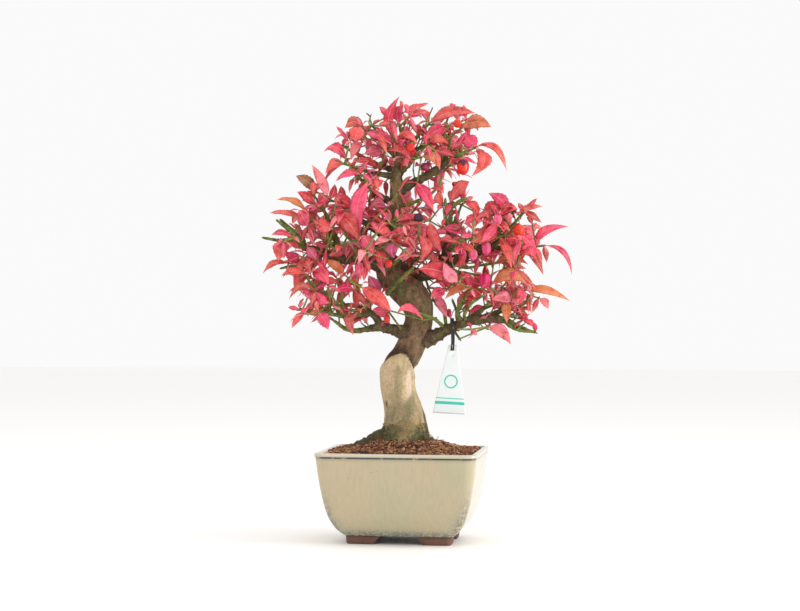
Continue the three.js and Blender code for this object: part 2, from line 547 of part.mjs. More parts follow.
function cavityRing(z, gap = 0) {
  const inset = insideInset(z);
  return potRing(z, inset + gap, potCorner - 3 - inset / 8);
}

function prismAcross(arch, length, turn) {
  const outline = new THREE.Shape();
  outline.moveTo(-arch.bottom / 2, -1);
  outline.lineTo(arch.bottom / 2, -1);
  outline.lineTo(arch.top / 2, footHeight);
  outline.lineTo(-arch.top / 2, footHeight);
  outline.closePath();
  const prism = new THREE.ExtrudeGeometry(outline, { depth: length, bevelEnabled: false });
  prism.translate(0, 0, -length / 2);
  prism.rotateX(Math.PI / 2);
  prism.rotateZ(turn);
  return solidOf(prism);
}

function pot() {
  const outside = potProfile.map(({ z, inset }) => potRing(z, inset, potCorner - inset / 6));
  outside.push(potRing(potHeight - lipHeight + 0.4, 0, potCorner));
  outside.push(potRing(potHeight - 0.6, 0, potCorner));
  outside.push(potRing(potHeight, 0.7, potCorner - 0.7));
  const cavity = cavityHeights.map((z) => cavityRing(z));
  cavity.push(cavity.at(-1).map((p) => new THREE.Vector3(p.x, p.y, potHeight + 1)));
  const footTop = footHeight + 1;
  const foot = skin([potRing(0, footInset + 0.8, 4), potRing(footTop, footInset, 4)]).subtract(
    skin([potRing(-1, footInset + footBand, 2), potRing(footTop + 1, footInset + footBand, 2)]),
  );
  const feet = foot
    .subtract(prismAcross(frontArch, potDepth, 0))
    .subtract(prismAcross(sideArch, potWidth, Math.PI / 2));
  const drains = [-1, 1].map((side) => {
    const drain = new THREE.CylinderGeometry(drainRadius, drainRadius, 3 * potWall, 16);
    drain.rotateX(Math.PI / 2);
    drain.translate((side * drainSpacing) / 2, 0, potFloorTop - potWall);
    return solidOf(drain);
  });
  const body = skin(outside).subtract(skin(cavity)).add(feet);
  return drains.reduce((sum, drain) => sum.subtract(drain), body);
}

// A square of plastic mesh over a drain hole
function drainMesh(side) {
  const plate = solidOf(new THREE.BoxGeometry(meshSide, meshSide, meshThickness));
  const places = [-1, 0, 1].flatMap((i) => [-1, 0, 1].map((j) => [i * meshPitch, j * meshPitch]));
  const open = places.reduce((rest, [x, y]) => {
    const hole = new THREE.BoxGeometry(meshOpening, meshOpening, 3 * meshThickness);
    hole.translate(x, y, 0);
    return rest.subtract(solidOf(hole));
  }, plate);
  return open.translate([(side * drainSpacing) / 2, 0, potFloorTop + fitGap + meshThickness / 2]);
}

// Numbers between 0 and 1 that come out the same every time for one seed.
function draws(seed) {
  let state = Math.imul(seed, 747796405) >>> 0;
  return () => {
    state = (Math.imul(state, 1664525) + 1013904223) >>> 0;
    return state / 4294967296;
  };
}

const between = ([low, high], share) => low + (high - low) * share;

// Soil

// A low mound round the trunk, with a grain of small ups and downs.
function soil(woodFoot) {
  const draw = draws(41);
  const wall = cavityHeights.slice(0, -1).map((z) => cavityRing(z, fitGap));
  wall[0].forEach((p) => p.setZ(potFloorTop + fitGap));
  const brim = potHeight - soilBelowRim;
  const edge = cavityRing(brim, fitGap);
  const middle = new THREE.Vector3(0, 0, 0);
  const rings = [0.9, 0.76, 0.62, 0.48, 0.34, 0.16].map((share) => {
    return edge.map((p) => {
      const x = p.x * share;
      const y = p.y * share;
      const reach = Math.hypot(x, y * 1.2) / soilMoundReach;
      const rise = soilMound * Math.exp(-reach * reach) + soilGrain * (2 * draw() - 1);
      return new THREE.Vector3(x, y, brim + rise);
    });
  });
  middle.z = brim + soilMound;
  const mound = skin([...wall, edge, ...rings, [middle]]);
  const recesses = [-1, 1].map((side) => {
    const room = meshSide + 2 * fitGap;
    const recess = new THREE.BoxGeometry(room, room, 2 * (meshThickness + 2 * fitGap));
    recess.translate((side * drainSpacing) / 2, 0, potFloorTop);
    return solidOf(recess);
  });
  const cut = recesses.reduce((sum, recess) => sum.subtract(recess), mound.subtract(woodFoot));
  return cut.decompose().sort((a, b) => b.volume() - a.volume())[0];
}

// Limbs

const up = new THREE.Vector3(0, 0, 1);
const vector = (p) => new THREE.Vector3(p[0], p[1], p[2]);

// Two directions across a course at each of its points, carried along it with as little turn as can be.
function crossings(points) {
  let across = new THREE.Vector3(0, 1, 0);
  return points.map((point, i) => {
    const ahead = points[Math.min(i + 1, points.length - 1)];
    const behind = points[Math.max(i - 1, 0)];
    const along = ahead.clone().sub(behind).normalize();
    if (i === 0 && Math.abs(along.y) > 0.9) {
      across = new THREE.Vector3(1, 0, 0);
    }
    across = across.clone().addScaledVector(along, -across.dot(along)).normalize();
    return [across, new THREE.Vector3().crossVectors(along, across)];
  });
}

// A tapering limb along a course of [x, y, z, radius], with swellings on an old one. Grown by a
// clearance it serves as the room that the limb takes up.
function limb(course, sides, { grow = 0, swell = 0, pointed = false } = {}) {
  const points = course.map(vector);
  const across = crossings(points);
  const rings = points.map((point, i) => {
    return Array.from({ length: sides }, (_, j) => {
      const angle = (2 * Math.PI * j) / sides;
      const lobes = Math.sin(3 * angle + point.z / 17) + 0.6 * Math.sin(5 * angle - point.z / 9);
      const radius = (course[i][3] + grow) * (1 + swell * lobes);
      return point
        .clone()
        .addScaledVector(across[i][0], radius * Math.cos(angle))
        .addScaledVector(across[i][1], radius * Math.sin(angle));
    });
  });
  if (pointed) {
    const last = points.length - 1;
    const onward = points[last].clone().sub(points[last - 1]).normalize();
    const tip = points[last].clone().addScaledVector(onward, budLength + grow);
    rings[last] = rings[last].map((p) => p.clone());
    rings.push([tip]);
  }
  return skin(rings);
}

function sidesFor(radius) {
  if (radius > 5) {
    return 8;
  }
  return radius > 3.3 ? 6 : 4;
}

// Growth: what already stands is kept as separate limbs and blades, so that new growth stays clear of it.
const standing = [];

function boxOf(solid) {
  const { min, max } = solid.boundingBox();
  return new THREE.Box3(vector(min), vector(max));
}

function stand(owner, solid) {
  standing.push({ owner, solid, box: boxOf(solid) });
}

function isClear(room, against) {
  const box = boxOf(room);
  return standing.every((other) => {
    return !against(other.owner) || !other.box.intersectsBox(box) || other.solid.intersect(room).isEmpty();
  });
}

// A ring is four points, anticlockwise as seen from outside.
const centreOf = (ring) => {
  return ring.reduce((sum, p) => sum.add(p), new THREE.Vector3()).multiplyScalar(1 / ring.length);
};

function facing(ring) {
  const [a, b, c, d] = ring;
  return new THREE.Vector3().crossVectors(c.clone().sub(a), d.clone().sub(b)).normalize();
}

function widened(ring, grow) {
  const middle = centreOf(ring);
  return ring.map((p) => {
    const out = p.clone().sub(middle);
    return p.clone().addScaledVector(out, grow / Math.max(out.length(), 0.2));
  });
}

// Rings of a tube that leaves a ring and passes through places given with their radius.
function tubeRings(start, places) {
  const rings = [];
  let low = start;
  let from = centreOf(start);
  places.forEach(({ point, radius }) => {
    const way = point.clone().sub(from).normalize();
    const middle = centreOf(low);
    low = low.map((p) => {
      const out = p.clone().sub(middle);
      out.addScaledVector(way, -out.dot(way)).normalize();
      return point.clone().addScaledVector(out, radius);
    });
    rings.push(low);
    from = point;
  });
  return rings;
}

// Rings of a blade: its edges are raised about the midrib, and it runs out to a point. They are turned
// so that their corners follow on from the ring that the blade leaves.
function bladeRings(low, { middle, tip, width, normal }, stations) {
  const base = centreOf(low);
  const chord = tip.clone().sub(base);
  const side = new THREE.Vector3().crossVectors(chord, normal).normalize();
  const above = new THREE.Vector3().crossVectors(side, chord).normalize();
  const control = middle.clone().multiplyScalar(2).addScaledVector(base, -0.5).addScaledVector(tip, -0.5);
  const rings = stations.map(([t, share]) => {
    const centre = base
      .clone()
      .multiplyScalar((1 - t) * (1 - t))
      .addScaledVector(control, 2 * t * (1 - t))
      .addScaledVector(tip, t * t);
    const half = (share * width) / 2;
    const lift = bladeFold * half;
    return [
      centre.clone().addScaledVector(side, -half).addScaledVector(above, lift),
      centre.clone().addScaledVector(above, bladeThickness / 2),
      centre.clone().addScaledVector(side, half).addScaledVector(above, lift),
      centre.clone().addScaledVector(above, -bladeThickness / 2),
    ];
  });
  const turned = (ring, k) => ring.map((_, i) => ring[(i + k) % 4]);
  const apart = (k) => turned(rings[0], k).reduce((sum, p, i) => sum + p.distanceTo(low[i]), 0);
  const best = [0, 1, 2, 3].reduce((least, k) => (apart(k) < apart(least) ? k : least), 0);
  return [...rings.map((ring) => turned(ring, best)), [tip.clone()]];
}

// What grows from a face must be clear of every other spray by the clearance, and of its own.
function fits(spray, start, rings) {
  const wide = rings.map((ring) => (ring.length > 1 ? widened(ring, sprayClearance) : ring));
  if (rings.at(-1).length === 1) {
    const tip = rings.at(-1)[0];
    const onward = tip.clone().sub(centreOf(rings.at(-2) ?? start)).normalize();
    wide[wide.length - 1] = [tip.clone().addScaledVector(onward, sprayClearance)];
  }
  const first = centreOf(rings[0]);
  const middle = centreOf(start);
  const onward = first.sub(middle).normalize();
  const inner = start.map((p) => p.clone().lerp(middle, 0.15).addScaledVector(onward, 0.25));
  const outer = widened(start, sprayClearance / 2);
  return (
    isClear(skin([inner, ...rings]), (owner) => owner === spray.name) &&
    isClear(skin([outer, ...wide]), (owner) => owner !== spray.name)
  );
}

// The surface of a spray grows by drawing out its open faces: rings are added over the face, and the
// four faces of a span at a node stay open, as does the end.
function drawOut(spray, face, rings, nodeSpan = -1) {
  spray.open = spray.open.filter((other) => other !== face);
  stand(spray.name, skin([face.ring, ...rings]));
  let low = face.index;
  let lowRing = face.ring;
  rings.forEach((ring, i) => {
    const high = ring.map((p) => spray.points.push(p) - 1);
    for (let j = 0; j < 4; j += 1) {
      const k = (j + 1) % 4;
      if (ring.length === 1) {
        spray.faces.push([low[j], low[k], high[0]]);
      } else if (i === nodeSpan) {
        const index = [low[j], low[k], high[k], high[j]];
        spray.open.push({ index, ring: [lowRing[j], lowRing[k], ring[k], ring[j]] });
      } else if (j % 2 === 0) {
        spray.faces.push([low[j], low[k], high[k]], [low[j], high[k], high[j]]);
      } else {
        spray.faces.push([low[j], low[k], high[j]], [low[k], high[k], high[j]]);
      }
    }
    low = high;
    lowRing = ring;
  });
  if (low.length === 4) {
    spray.open.push({ index: low, ring: lowRing });
  }
}

const snake = (name) => name.replace(/[A-Z0-9]+/g, (part) => "_" + part.toLowerCase());

// A spray starts face to face with the wood: a short root with a node near its end.
function startSpray(name, start, along, radius) {
  const across = crossings([start, start.clone().add(along)])[0];
  const ring = [0, 1, 2, 3].map((j) => {
    const angle = (Math.PI / 2) * j;
    return start
      .clone()
      .addScaledVector(across[0], radius * Math.cos(angle))
      .addScaledVector(across[1], radius * Math.sin(angle));
  });
  const back = [[0, 2, 1], [0, 3, 2]];
  const spray = { name, along, points: ring, faces: back, open: [], fruit: [], colours: [] };
  const face = { index: [0, 1, 2, 3], ring };
  const places = [rootLength - nodeLength, rootLength].map((length) => {
    return { point: start.clone().addScaledVector(along, length), radius: twigRadius };
  });
  const rings = tubeRings(ring, places);
  drawOut(spray, face, rings, 1);
  return spray;
}

function branchSpray([name, course]) {
  const last = vector(course.at(-1));
  const along = last.clone().sub(vector(course.at(-2))).normalize();
  const start = last.clone().addScaledVector(along, fitGap);
  return startSpray("spray_" + snake(name), start, along, course.at(-1)[3]);
}

// A spray on the side of a branch, part of the way along it and turned round it
function sideSpray([name, course, share, turn]) {
  const place = share * (course.length - 1);
  const i = Math.min(Math.floor(place), course.length - 2);
  const from = vector(course[i]);
  const to = vector(course[i + 1]);
  const radius = course[i][3] + (course[i + 1][3] - course[i][3]) * (place - i);
  const along = to.clone().sub(from).normalize();
  const out = new THREE.Vector3(0, 1, 0).addScaledVector(along, -along.y).normalize();
  out.applyAxisAngle(along, turn);
  const start = from.lerp(to, place - i).addScaledVector(out, radius + fitGap);
  const way = out.addScaledVector(along, 0.2).normalize();
  return startSpray("spray_" + snake(name), start, way, twigRadius);
}

// The best face for something that starts at a place and points some way: near it and turned to it
function bestFace(faces, target, way) {
  return faces.reduce(
    (best, face) => {
      const middle = centreOf(face.ring);
      const apart = middle.distanceTo(target);
      const onward = apart < jointReach ? way : target.clone().sub(middle).normalize();
      const cost = apart + turnCost * (1 - Math.max(facing(face.ring).dot(onward), 0));
      return cost < best.cost ? { face, cost } : best;
    },
    { face: null, cost: Infinity },
  );
}

function bestSprays(target, way) {
  return sprays
    .map((spray) => ({ spray, ...bestFace(spray.open, target, way) }))
    .sort((a, b) => a.cost - b.cost)
    .slice(0, spraysTried);
}

const record = (spray) => {
  const { points, faces, open } = spray;
  return { points: [...points], faces: [...faces], open: [...open], stood: standing.length };
};

function restore(spray, { stood, ...kept }) {
  Object.assign(spray, kept);
  standing.length = stood;
}

// A leaf on a face, at the end of a stalk with a node of its own if it starts further away.
function addLeaf(spray, face, leaf, stations) {
  const kept = record(spray);
  const way = leaf.middle.clone().sub(leaf.base).normalize();
  let seat = face;
  const apart = leaf.base.clone().sub(centreOf(face.ring));
  if (apart.length() >= jointReach) {
    const places = [apart.length() - nodeLength, apart.length()].map((length) => {
      const point = centreOf(face.ring).addScaledVector(apart.clone().normalize(), length);
      return { point, radius: twigTip };
    });
    const rings = tubeRings(face.ring, places);
    if (!fits(spray, face.ring, rings)) {
      return false;
    }
    drawOut(spray, face, rings, 1);
    seat = bestFace(spray.open.slice(-5), leaf.base, way).face;
  }
  const rings = bladeRings(seat.ring, leaf, stations);
  if (facing(seat.ring).dot(way) < leastFacing || !fits(spray, seat.ring, rings)) {
    restore(spray, kept);
    return false;
  }
  drawOut(spray, seat, rings);
  spray.colours.push(leaf.colour);
  return true;
}

// A leaf or twig that would touch another spray is moved a little nearer or further away.
const depthMoves = [0, -3, 3, -6, 6, -9, 9];
const moved = (p, move) => new THREE.Vector3(p[0], p[1] + move, p[2]);

function addShownLeaf([base, middle, tip, width, face, colour]) {
  const turn = THREE.MathUtils.degToRad(face);
  const normal = new THREE.Vector3(0, -Math.cos(turn), Math.sin(turn));
  return depthMoves.some((move) => {
    const [b, m, t] = [base, middle, tip].map((p) => moved(p, move));
    const leaf = { base: b, middle: m, tip: t, width, normal, colour };
    const stations = t.distanceTo(b) > longLeaf ? shownBlade : rowBlade;
    return bestSprays(b, m.clone().sub(b).normalize()).some((choice) => {
      return addLeaf(choice.spray, choice.face, leaf, stations);
    });
  });
}

function addShownTwig(course) {
  return depthMoves.some((move) => {
    const points = course.map((p) => moved(p, move));
    const way = points[1].clone().sub(points[0]).normalize();
    return bestSprays(points[0], way).some(({ spray, face }) => {
      const places = points.slice(0, -1).map((point) => ({ point, radius: twigTip }));
      const rings = [...tubeRings(face.ring, places), [points.at(-1)]];
      if (!fits(spray, face.ring, rings)) {
        return false;
      }
      drawOut(spray, face, rings);
      return true;
    });
  });
}

// A fruit hangs on a stalk that ends in its middle.
function addFruit([place, size]) {
  return depthMoves.some((move) => {
    const centre = moved(place, move);
    const top = centre.clone().add(new THREE.Vector3(0, 0, size[1]));
    const shape = new THREE.SphereGeometry(1, 6, 4);
    shape.rotateX(Math.PI / 2);
    const ball = (grow) => {
      const grown = shape.clone().scale(size[0] + grow, size[0] + grow, size[1] + grow);
      return solidOf(grown.translate(centre.x, centre.y, centre.z));
    };
    return bestSprays(top, up.clone().negate()).some(({ spray, face }) => {
      const places = [{ point: top, radius: twigTip }];
      const rings = [...tubeRings(face.ring, places), [centre]];
      if (!isClear(ball(sprayClearance), () => true) || !fits(spray, face.ring, rings)) {
        return false;
      }
      drawOut(spray, face, rings);
      spray.fruit.push(ball(0));
      stand(spray.name, ball(0));
      return true;
    });
  });
}

// The crown's reach at a height: left, right and away from the middle
function isInCrown(point) {
  if (point.z < crownOutline[0][0] || point.z > crownOutline.at(-1)[0]) {
    return false;
  }
  const above = Math.max(crownOutline.findIndex((row) => row[0] >= point.z), 1);
  const [low, high] = [crownOutline[above - 1], crownOutline[above]];
  const share = (point.z - low[0]) / (high[0] - low[0]);
  const [, left, right, depth] = low.map((value, i) => value + (high[i] - value) * share);
  return point.x > left && point.x < right && Math.abs(point.y - crownMiddle) < depth;
}

// The far side of the crown has none of the leaves that the eye picks out, and more by rule.
const sideOf = (spray) => (spray.points[0].y > crownMiddle ? "far" : "near");

// Twigs by rule: a few from the faces of the root, rising, each with a node near its end
function growTwigs(spray, index) {
  const draw = draws(twigSeed + index);
  const faces = spray.open.slice(-5);
  for (let k = 0; k < twigsPerSpray[sideOf(spray)]; k += 1) {
    const length = between(ruleTwig.length, draw());
    const lean = ruleTwig.lean * draw();
    const face = faces[[4, 0, 2, 1, 3][k]];
    if (spray.open.includes(face)) {
      const way = facing(face.ring)
        .addScaledVector(spray.along, lean)
        .addScaledVector(up, ruleTwig.rise)
        .normalize();
      const places = [length - nodeLength, length].map((reach) => {
        return { point: centreOf(face.ring).addScaledVector(way, reach), radius: twigTip };
      });
      const rings = tubeRings(face.ring, places);
      if (isInCrown(places[1].point) && fits(spray, face.ring, rings)) {
        drawOut(spray, face, rings, 1);
      }
    }
  }
}

// Leaves by rule: from the open faces at the nodes, in pairs, each leaning on along its twig
function growLeaves(spray, index) {
  const draw = draws(leafSeed + index);
  const faces = [...spray.open];
  const most = leavesPerSpray[sideOf(spray)];
  let added = 0;
  faces.forEach((face, k) => {
    const length = between(ruleLeaf.length, draw());
    const droop = length * between(ruleLeaf.droop, draw());
    const normal = new THREE.Vector3(draw() - 0.5, draw() - 0.8, 0.75);
    const width = length * between(ruleLeaf.slimness, draw());
    const colour = rowColours[Math.floor(draw() * rowColours.length)];
    const wanted = (k + index) % 2 === 0 || (k + 1) % 5 === 0;
    const way = facing(face.ring)
      .addScaledVector(spray.along, ruleLeaf.lean)
      .addScaledVector(up, ruleLeaf.rise)
      .normalize();
    const base = centreOf(face.ring);
    const middle = base.clone().addScaledVector(way, length * 0.52);
    const tip = base.clone().addScaledVector(way, length * 0.95).addScaledVector(up, -droop);
    const shows = middle.y < shownFront || tip.y < shownFront;
    if (wanted && added < most && !shows && isInCrown(tip) && isInCrown(middle)) {
      added += addLeaf(spray, face, { base, middle, tip, width, normal, colour }, rowBlade) ? 1 : 0;
    }
  });
}

// The whole spray: its open faces are closed, and its fruit joined on.
function spraySolid(spray) {
  const closed = spray.open.flatMap(({ index: [a, b, c, d] }) => [[a, b, c], [a, c, d]]);
  const surface = solidFrom(spray.points, [...spray.faces, ...closed]);
  return spray.fruit.reduce((sum, ball) => sum.add(ball), surface);
}

// Wood: roots, trunk, branches, short shoots and bare twigs, all one grown piece

const limbs = [limb(trunk, trunkSides, { swell: 0.035 })];
roots.forEach((course) => limbs.push(limb(course, 6, { swell: 0.05 })));
Object.values(branches).forEach((course) => limbs.push(limb(course, sidesFor(course[0][3]))));
woodTwigs.forEach((course) => limbs.push(limb(course, 3, { pointed: true })));
limbs.forEach((solid) => stand("wood", solid));
const wood = join(limbs);

const footRoom = join([
  limb(trunk.slice(0, 8), trunkSides, { swell: 0.035, grow: fitGap }),
  ...roots.map((course) => limb(course, 6, { swell: 0.05, grow: fitGap, pointed: true })),
]);

// Tag and tie

// A tall plate that widens downwards, with a slot near its top
function tagPlate() {
  const outline = new THREE.Shape();
  outline.moveTo(-tag.bottomWidth / 2, 0);
  outline.lineTo(tag.bottomWidth / 2, 0);
  outline.lineTo(tag.topWidth / 2, tag.height);
  outline.lineTo(-tag.topWidth / 2, tag.height);
  outline.closePath();
  const slot = new THREE.Path();
  slot.absellipse(0, tag.slotHeight, tag.slotWidth / 2, tag.slotLength / 2, 0, 2 * Math.PI, true);
  outline.holes.push(slot);
  const plate = new THREE.ExtrudeGeometry(outline, {
    depth: tag.thickness,
    bevelEnabled: false,
    curveSegments: 8,
  });
  plate.translate(0, 0, -tag.thickness / 2);
  plate.rotateX(Math.PI / 2);
  plate.translate(tag.x, tag.y, tag.top - tag.height);
  return solidOf(plate);
}

// A loop of cord, round over the branch and narrow where it passes through the slot
function tieLoop() {
  const steps = 16;
  const slotZ = tag.top - tag.height + tag.slotHeight;
  const bottom = slotZ + tag.slotLength / 2 - fitGap - tie.radius;
  const rings = Array.from({ length: steps }, (_, i) => {
    const angle = (2 * Math.PI * i) / steps;
    const share = 0.5 + 0.5 * Math.sin(angle);
    const half = tie.slotHalf + (tie.branchHalf - tie.slotHalf) * share ** 0.6;
    const centre = new THREE.Vector3(
      tag.x,
      tag.y + half * Math.cos(angle),
      bottom + (tie.top - bottom) * share,
    );
    const out = new THREE.Vector3(0, Math.cos(angle), Math.sin(angle) * 0.8).normalize();
    return Array.from({ length: 5 }, (_, j) => {
      const turn = (2 * Math.PI * j) / 5;
      return centre
        .clone()
        .addScaledVector(out, tie.radius * Math.cos(turn))
        .add(new THREE.Vector3(tie.radius * Math.sin(turn), 0, 0));
    });
  });
  return skin(rings, true);
}

const plate = tagPlate();
const loop = tieLoop();
stand("tag", plate);
stand("tag_tie", loop);

// Sprays

const sides = Object.entries(sideSprays).flatMap(([branch, count]) => {
  return Array.from({ length: count }, (_, i) => {
    const share = (i + 0.6) / (count + 0.2);
    return [branch + "Side" + (i + 1), branches[branch], share, sideTurn * (i + 1) + count];
  });
});
const leafy = Object.entries(branches).filter(([name]) => !bareEnds.includes(name));
const sprays = [...leafy.map(branchSpray), ...sides.map(sideSpray)];
shownTwigs.forEach(addShownTwig);
shownLeaves.forEach(addShownLeaf);
fruits.forEach(addFruit);
sprays.forEach(growTwigs);
sprays.forEach(growLeaves);

// The finished plant in its pot

const tree = new THREE.Group();
tree.rotation.z = viewTurn;
tree.add(meshOf("wood", wood, 0x6e5b48, 0.85));
sprays.forEach((spray) => {
  const colour = leafColours[spray.colours[0] ?? "coral"];
  tree.add(meshOf(spray.name, spraySolid(spray), colour, 0.5));
});
tree.add(meshOf("tag", plate, 0xf2f4f3, 0.35));
tree.add(meshOf("tag_tie", loop, 0x17181a, 0.5));

const turnedFoot = footRoom.rotate([0, 0, THREE.MathUtils.radToDeg(viewTurn)]);
const plant = new THREE.Group();
plant.add(meshOf("pot", pot(), 0xc9c09d, 0.2));
plant.add(meshOf("soil", soil(turnedFoot), 0x7a4a36, 0.95));
plant.add(meshOf("drain_mesh_left", drainMesh(-1), 0x23262a, 0.6));
plant.add(meshOf("drain_mesh_right", drainMesh(1), 0x23262a, 0.6));
plant.add(tree);

// The origin is the middle of the whole plant's box, on the ground.
const room = new THREE.Box3().setFromObject(plant, true);
const middleOfBox = room.getCenter(new THREE.Vector3());
plant.position.set(-middleOfBox.x, -middleOfBox.y, -room.min.z);

export default plant;
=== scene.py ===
# A euonymus bonsai in autumn leaf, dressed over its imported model: the glazed pot, the grainy soil,
# the old wood, the leafy shoots with their fruit, and the tag on its tie.
# Shapes are worked out in millimetres in the tree's own frame (x to the right of the eye, y away from
# it, z up); putPiece turns them on the pot and puts them in the row frame in metres.
import json
import math

import bpy
import numpy as np
from mathutils import Matrix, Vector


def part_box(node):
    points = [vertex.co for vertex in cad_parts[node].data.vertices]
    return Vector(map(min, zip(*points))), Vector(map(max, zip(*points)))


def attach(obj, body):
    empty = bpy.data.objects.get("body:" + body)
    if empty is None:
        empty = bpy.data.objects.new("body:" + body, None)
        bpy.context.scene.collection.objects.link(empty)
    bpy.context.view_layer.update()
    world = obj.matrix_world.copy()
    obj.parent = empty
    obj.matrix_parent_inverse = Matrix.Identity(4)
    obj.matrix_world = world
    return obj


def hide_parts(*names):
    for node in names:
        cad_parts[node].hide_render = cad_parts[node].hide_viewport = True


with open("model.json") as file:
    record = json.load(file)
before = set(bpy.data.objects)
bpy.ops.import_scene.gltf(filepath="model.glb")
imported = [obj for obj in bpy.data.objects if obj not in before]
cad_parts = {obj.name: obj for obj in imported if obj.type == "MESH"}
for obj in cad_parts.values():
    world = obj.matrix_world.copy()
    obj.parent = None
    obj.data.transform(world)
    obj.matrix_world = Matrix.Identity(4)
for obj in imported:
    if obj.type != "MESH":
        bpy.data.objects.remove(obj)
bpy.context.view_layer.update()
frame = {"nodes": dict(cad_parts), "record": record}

potLow, potHigh = (np.array(corner) * 1000 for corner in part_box("pot"))
potCentre = np.array([*(potLow + potHigh)[:2] / 2, 0])
treeTurn = math.radians(9)  # the tree's front is turned this far on the pot
slotOfNode = {row["node"]: row["material_slot"] for row in frame["record"]["subparts"]}
treeAxes = np.array([
    [math.cos(treeTurn), math.sin(treeTurn), 0],
    [-math.sin(treeTurn), math.cos(treeTurn), 0],
    [0, 0, 1],
])


# Meshes

def ringSurface(rings, ends=None, **marks):
    # A closed skin: quads between neighbouring rings (rings x corners x 3), and a fan of triangles
    # to a pole at each end, which is the end ring's middle unless it is given.
    count, sides = rings.shape[:2]
    ends = [rings[0].mean(0), rings[-1].mean(0)] if ends is None else ends
    points = np.concatenate([rings.reshape(-1, 3), np.array(ends)])
    i, j = np.meshgrid(np.arange(count - 1), np.arange(sides), indexing="ij")
    k = (j + 1) % sides
    quads = np.stack([i * sides + j, i * sides + k, (i + 1) * sides + k, (i + 1) * sides + j], -1)
    around = np.arange(sides)
    onward = (around + 1) % sides
    first, last = count * sides, count * sides + 1
    top = (count - 1) * sides
    triangles = np.concatenate([
        np.stack([onward, around, np.full(sides, first)], -1),
        np.stack([top + around, top + onward, np.full(sides, last)], -1),
    ])
    surface = {"points": points, "quads": quads.reshape(-1, 4), "triangles": triangles}
    for name, values in marks.items():
        # a mark has a value for each corner of each ring, and the poles take those of their rings
        values = np.asarray(values, float)
        values = np.broadcast_to(values, (count, sides, values.shape[-1]))
        flat = values.reshape(-1, values.shape[-1])
        surface[name] = np.concatenate([flat, values[0].mean(0)[None], values[-1].mean(0)[None]])
    return surface


def joinSurfaces(surfaces):
    starts = np.cumsum([0] + [len(s["points"]) for s in surfaces[:-1]])
    joined = {"points": np.concatenate([s["points"] for s in surfaces])}
    for kind in ("quads", "triangles"):
        joined[kind] = np.concatenate([s[kind] + start for s, start in zip(surfaces, starts)])
    for mark in surfaces[0].keys() - joined.keys():
        joined[mark] = np.concatenate([s[mark] for s in surfaces])
    return joined


def putPiece(name, surface, material, replaced=(), onPot=False):
    # The surface becomes a mesh object at the origin. Its marks become attributes of its points.
    axes = np.eye(3) if onPot else treeAxes
    points = (surface["points"] @ axes + potCentre) / 1000
    mesh = bpy.data.meshes.new(name)
    loops = np.concatenate([surface["quads"].ravel(), surface["triangles"].ravel()])
    quadCount, triangleCount = len(surface["quads"]), len(surface["triangles"])
    starts = np.concatenate([np.arange(quadCount) * 4, quadCount * 4 + np.arange(triangleCount) * 3])
    mesh.vertices.add(len(points))
    mesh.vertices.foreach_set("co", points.astype(np.float32).ravel())
    mesh.loops.add(len(loops))
    mesh.loops.foreach_set("vertex_index", loops.astype(np.int32))
    mesh.polygons.add(len(starts))
    mesh.polygons.foreach_set("loop_start", starts.astype(np.int32))
    mesh.update(calc_edges=True)
    mesh.shade_smooth()
    for mark in surface.keys() - {"points", "quads", "triangles"}:
        values = surface[mark]
        kind = "FLOAT" if values.shape[1] == 1 else "FLOAT_VECTOR"
        attribute = mesh.attributes.new(mark, kind, "POINT")
        key = "value" if kind == "FLOAT" else "vector"
        attribute.data.foreach_set(key, values.astype(np.float32).ravel())
    mesh.materials.append(material)
    piece = bpy.data.objects.new(name, mesh)
    bpy.context.scene.collection.objects.link(piece)
    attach(piece, "root")
    if replaced:
        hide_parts(*replaced)
    return piece


def latticeNoise(points, size, seed=0):
    # Random numbers at the corners of a lattice with cells of that size, blended between them by
    # 3t^2 - 2t^3. Goes from -1 to 1.
    place = points / size
    cell = np.floor(place)
    t = place - cell
    t = t * t * (3 - 2 * t)
    cell = cell.astype(np.int64)
    total = np.zeros(points.shape[:-1])
    for corner in np.ndindex(2, 2, 2):
        key = ((cell + corner) * [374761393, 668265263, 1440662683]).sum(-1) + seed * 974634777
        key = (key ^ (key >> 13)) * 1274126177 & 0xFFFFFFFF
        value = ((key ^ (key >> 15)) & 0xFFFF) / 0xFFFF
        total += value * np.prod(np.where(corner, t, 1 - t), -1)
    return 2 * total - 1


def smoothCourse(course, step):
    # A Catmull-Rom curve through the course's rows, with a station about every step of its length.
    rows = np.array(course, float)
    padded = np.concatenate([[2 * rows[0] - rows[1]], rows, [2 * rows[-1] - rows[-2]]])
    lengths = np.linalg.norm(np.diff(rows[:, :3], axis=0), axis=1)
    ends = np.concatenate([[0], np.cumsum(lengths)])
    at = np.linspace(0, ends[-1], max(int(ends[-1] / step) + 1, 3))
    i = np.clip(np.searchsorted(ends, at, "right") - 1, 0, len(rows) - 2)
    t = ((at - ends[i]) / lengths[i])[:, None]
    a, b, c, d = (padded[i + k] for k in range(4))
    return 0.5 * (2 * b + (c - a) * t + (2 * a - 5 * b + 4 * c - d) * t**2 + (3 * b - a - 3 * c + d) * t**3)


def unit(vectors):
    return vectors / np.maximum(np.linalg.norm(vectors, axis=-1, keepdims=True), 1e-9)


def crossAxes(centres):
    # Two directions across a path at each of its stations, from the row axis that the path runs
    # along least.
    along = unit(np.gradient(centres, axis=0))
    reference = np.eye(3)[[1, 0, 2]][np.argmin(np.abs(along[:, [1, 0, 2]]).max(0))]
    across = unit(reference - (along @ reference)[:, None] * along)
    return along, across, np.cross(along, across)


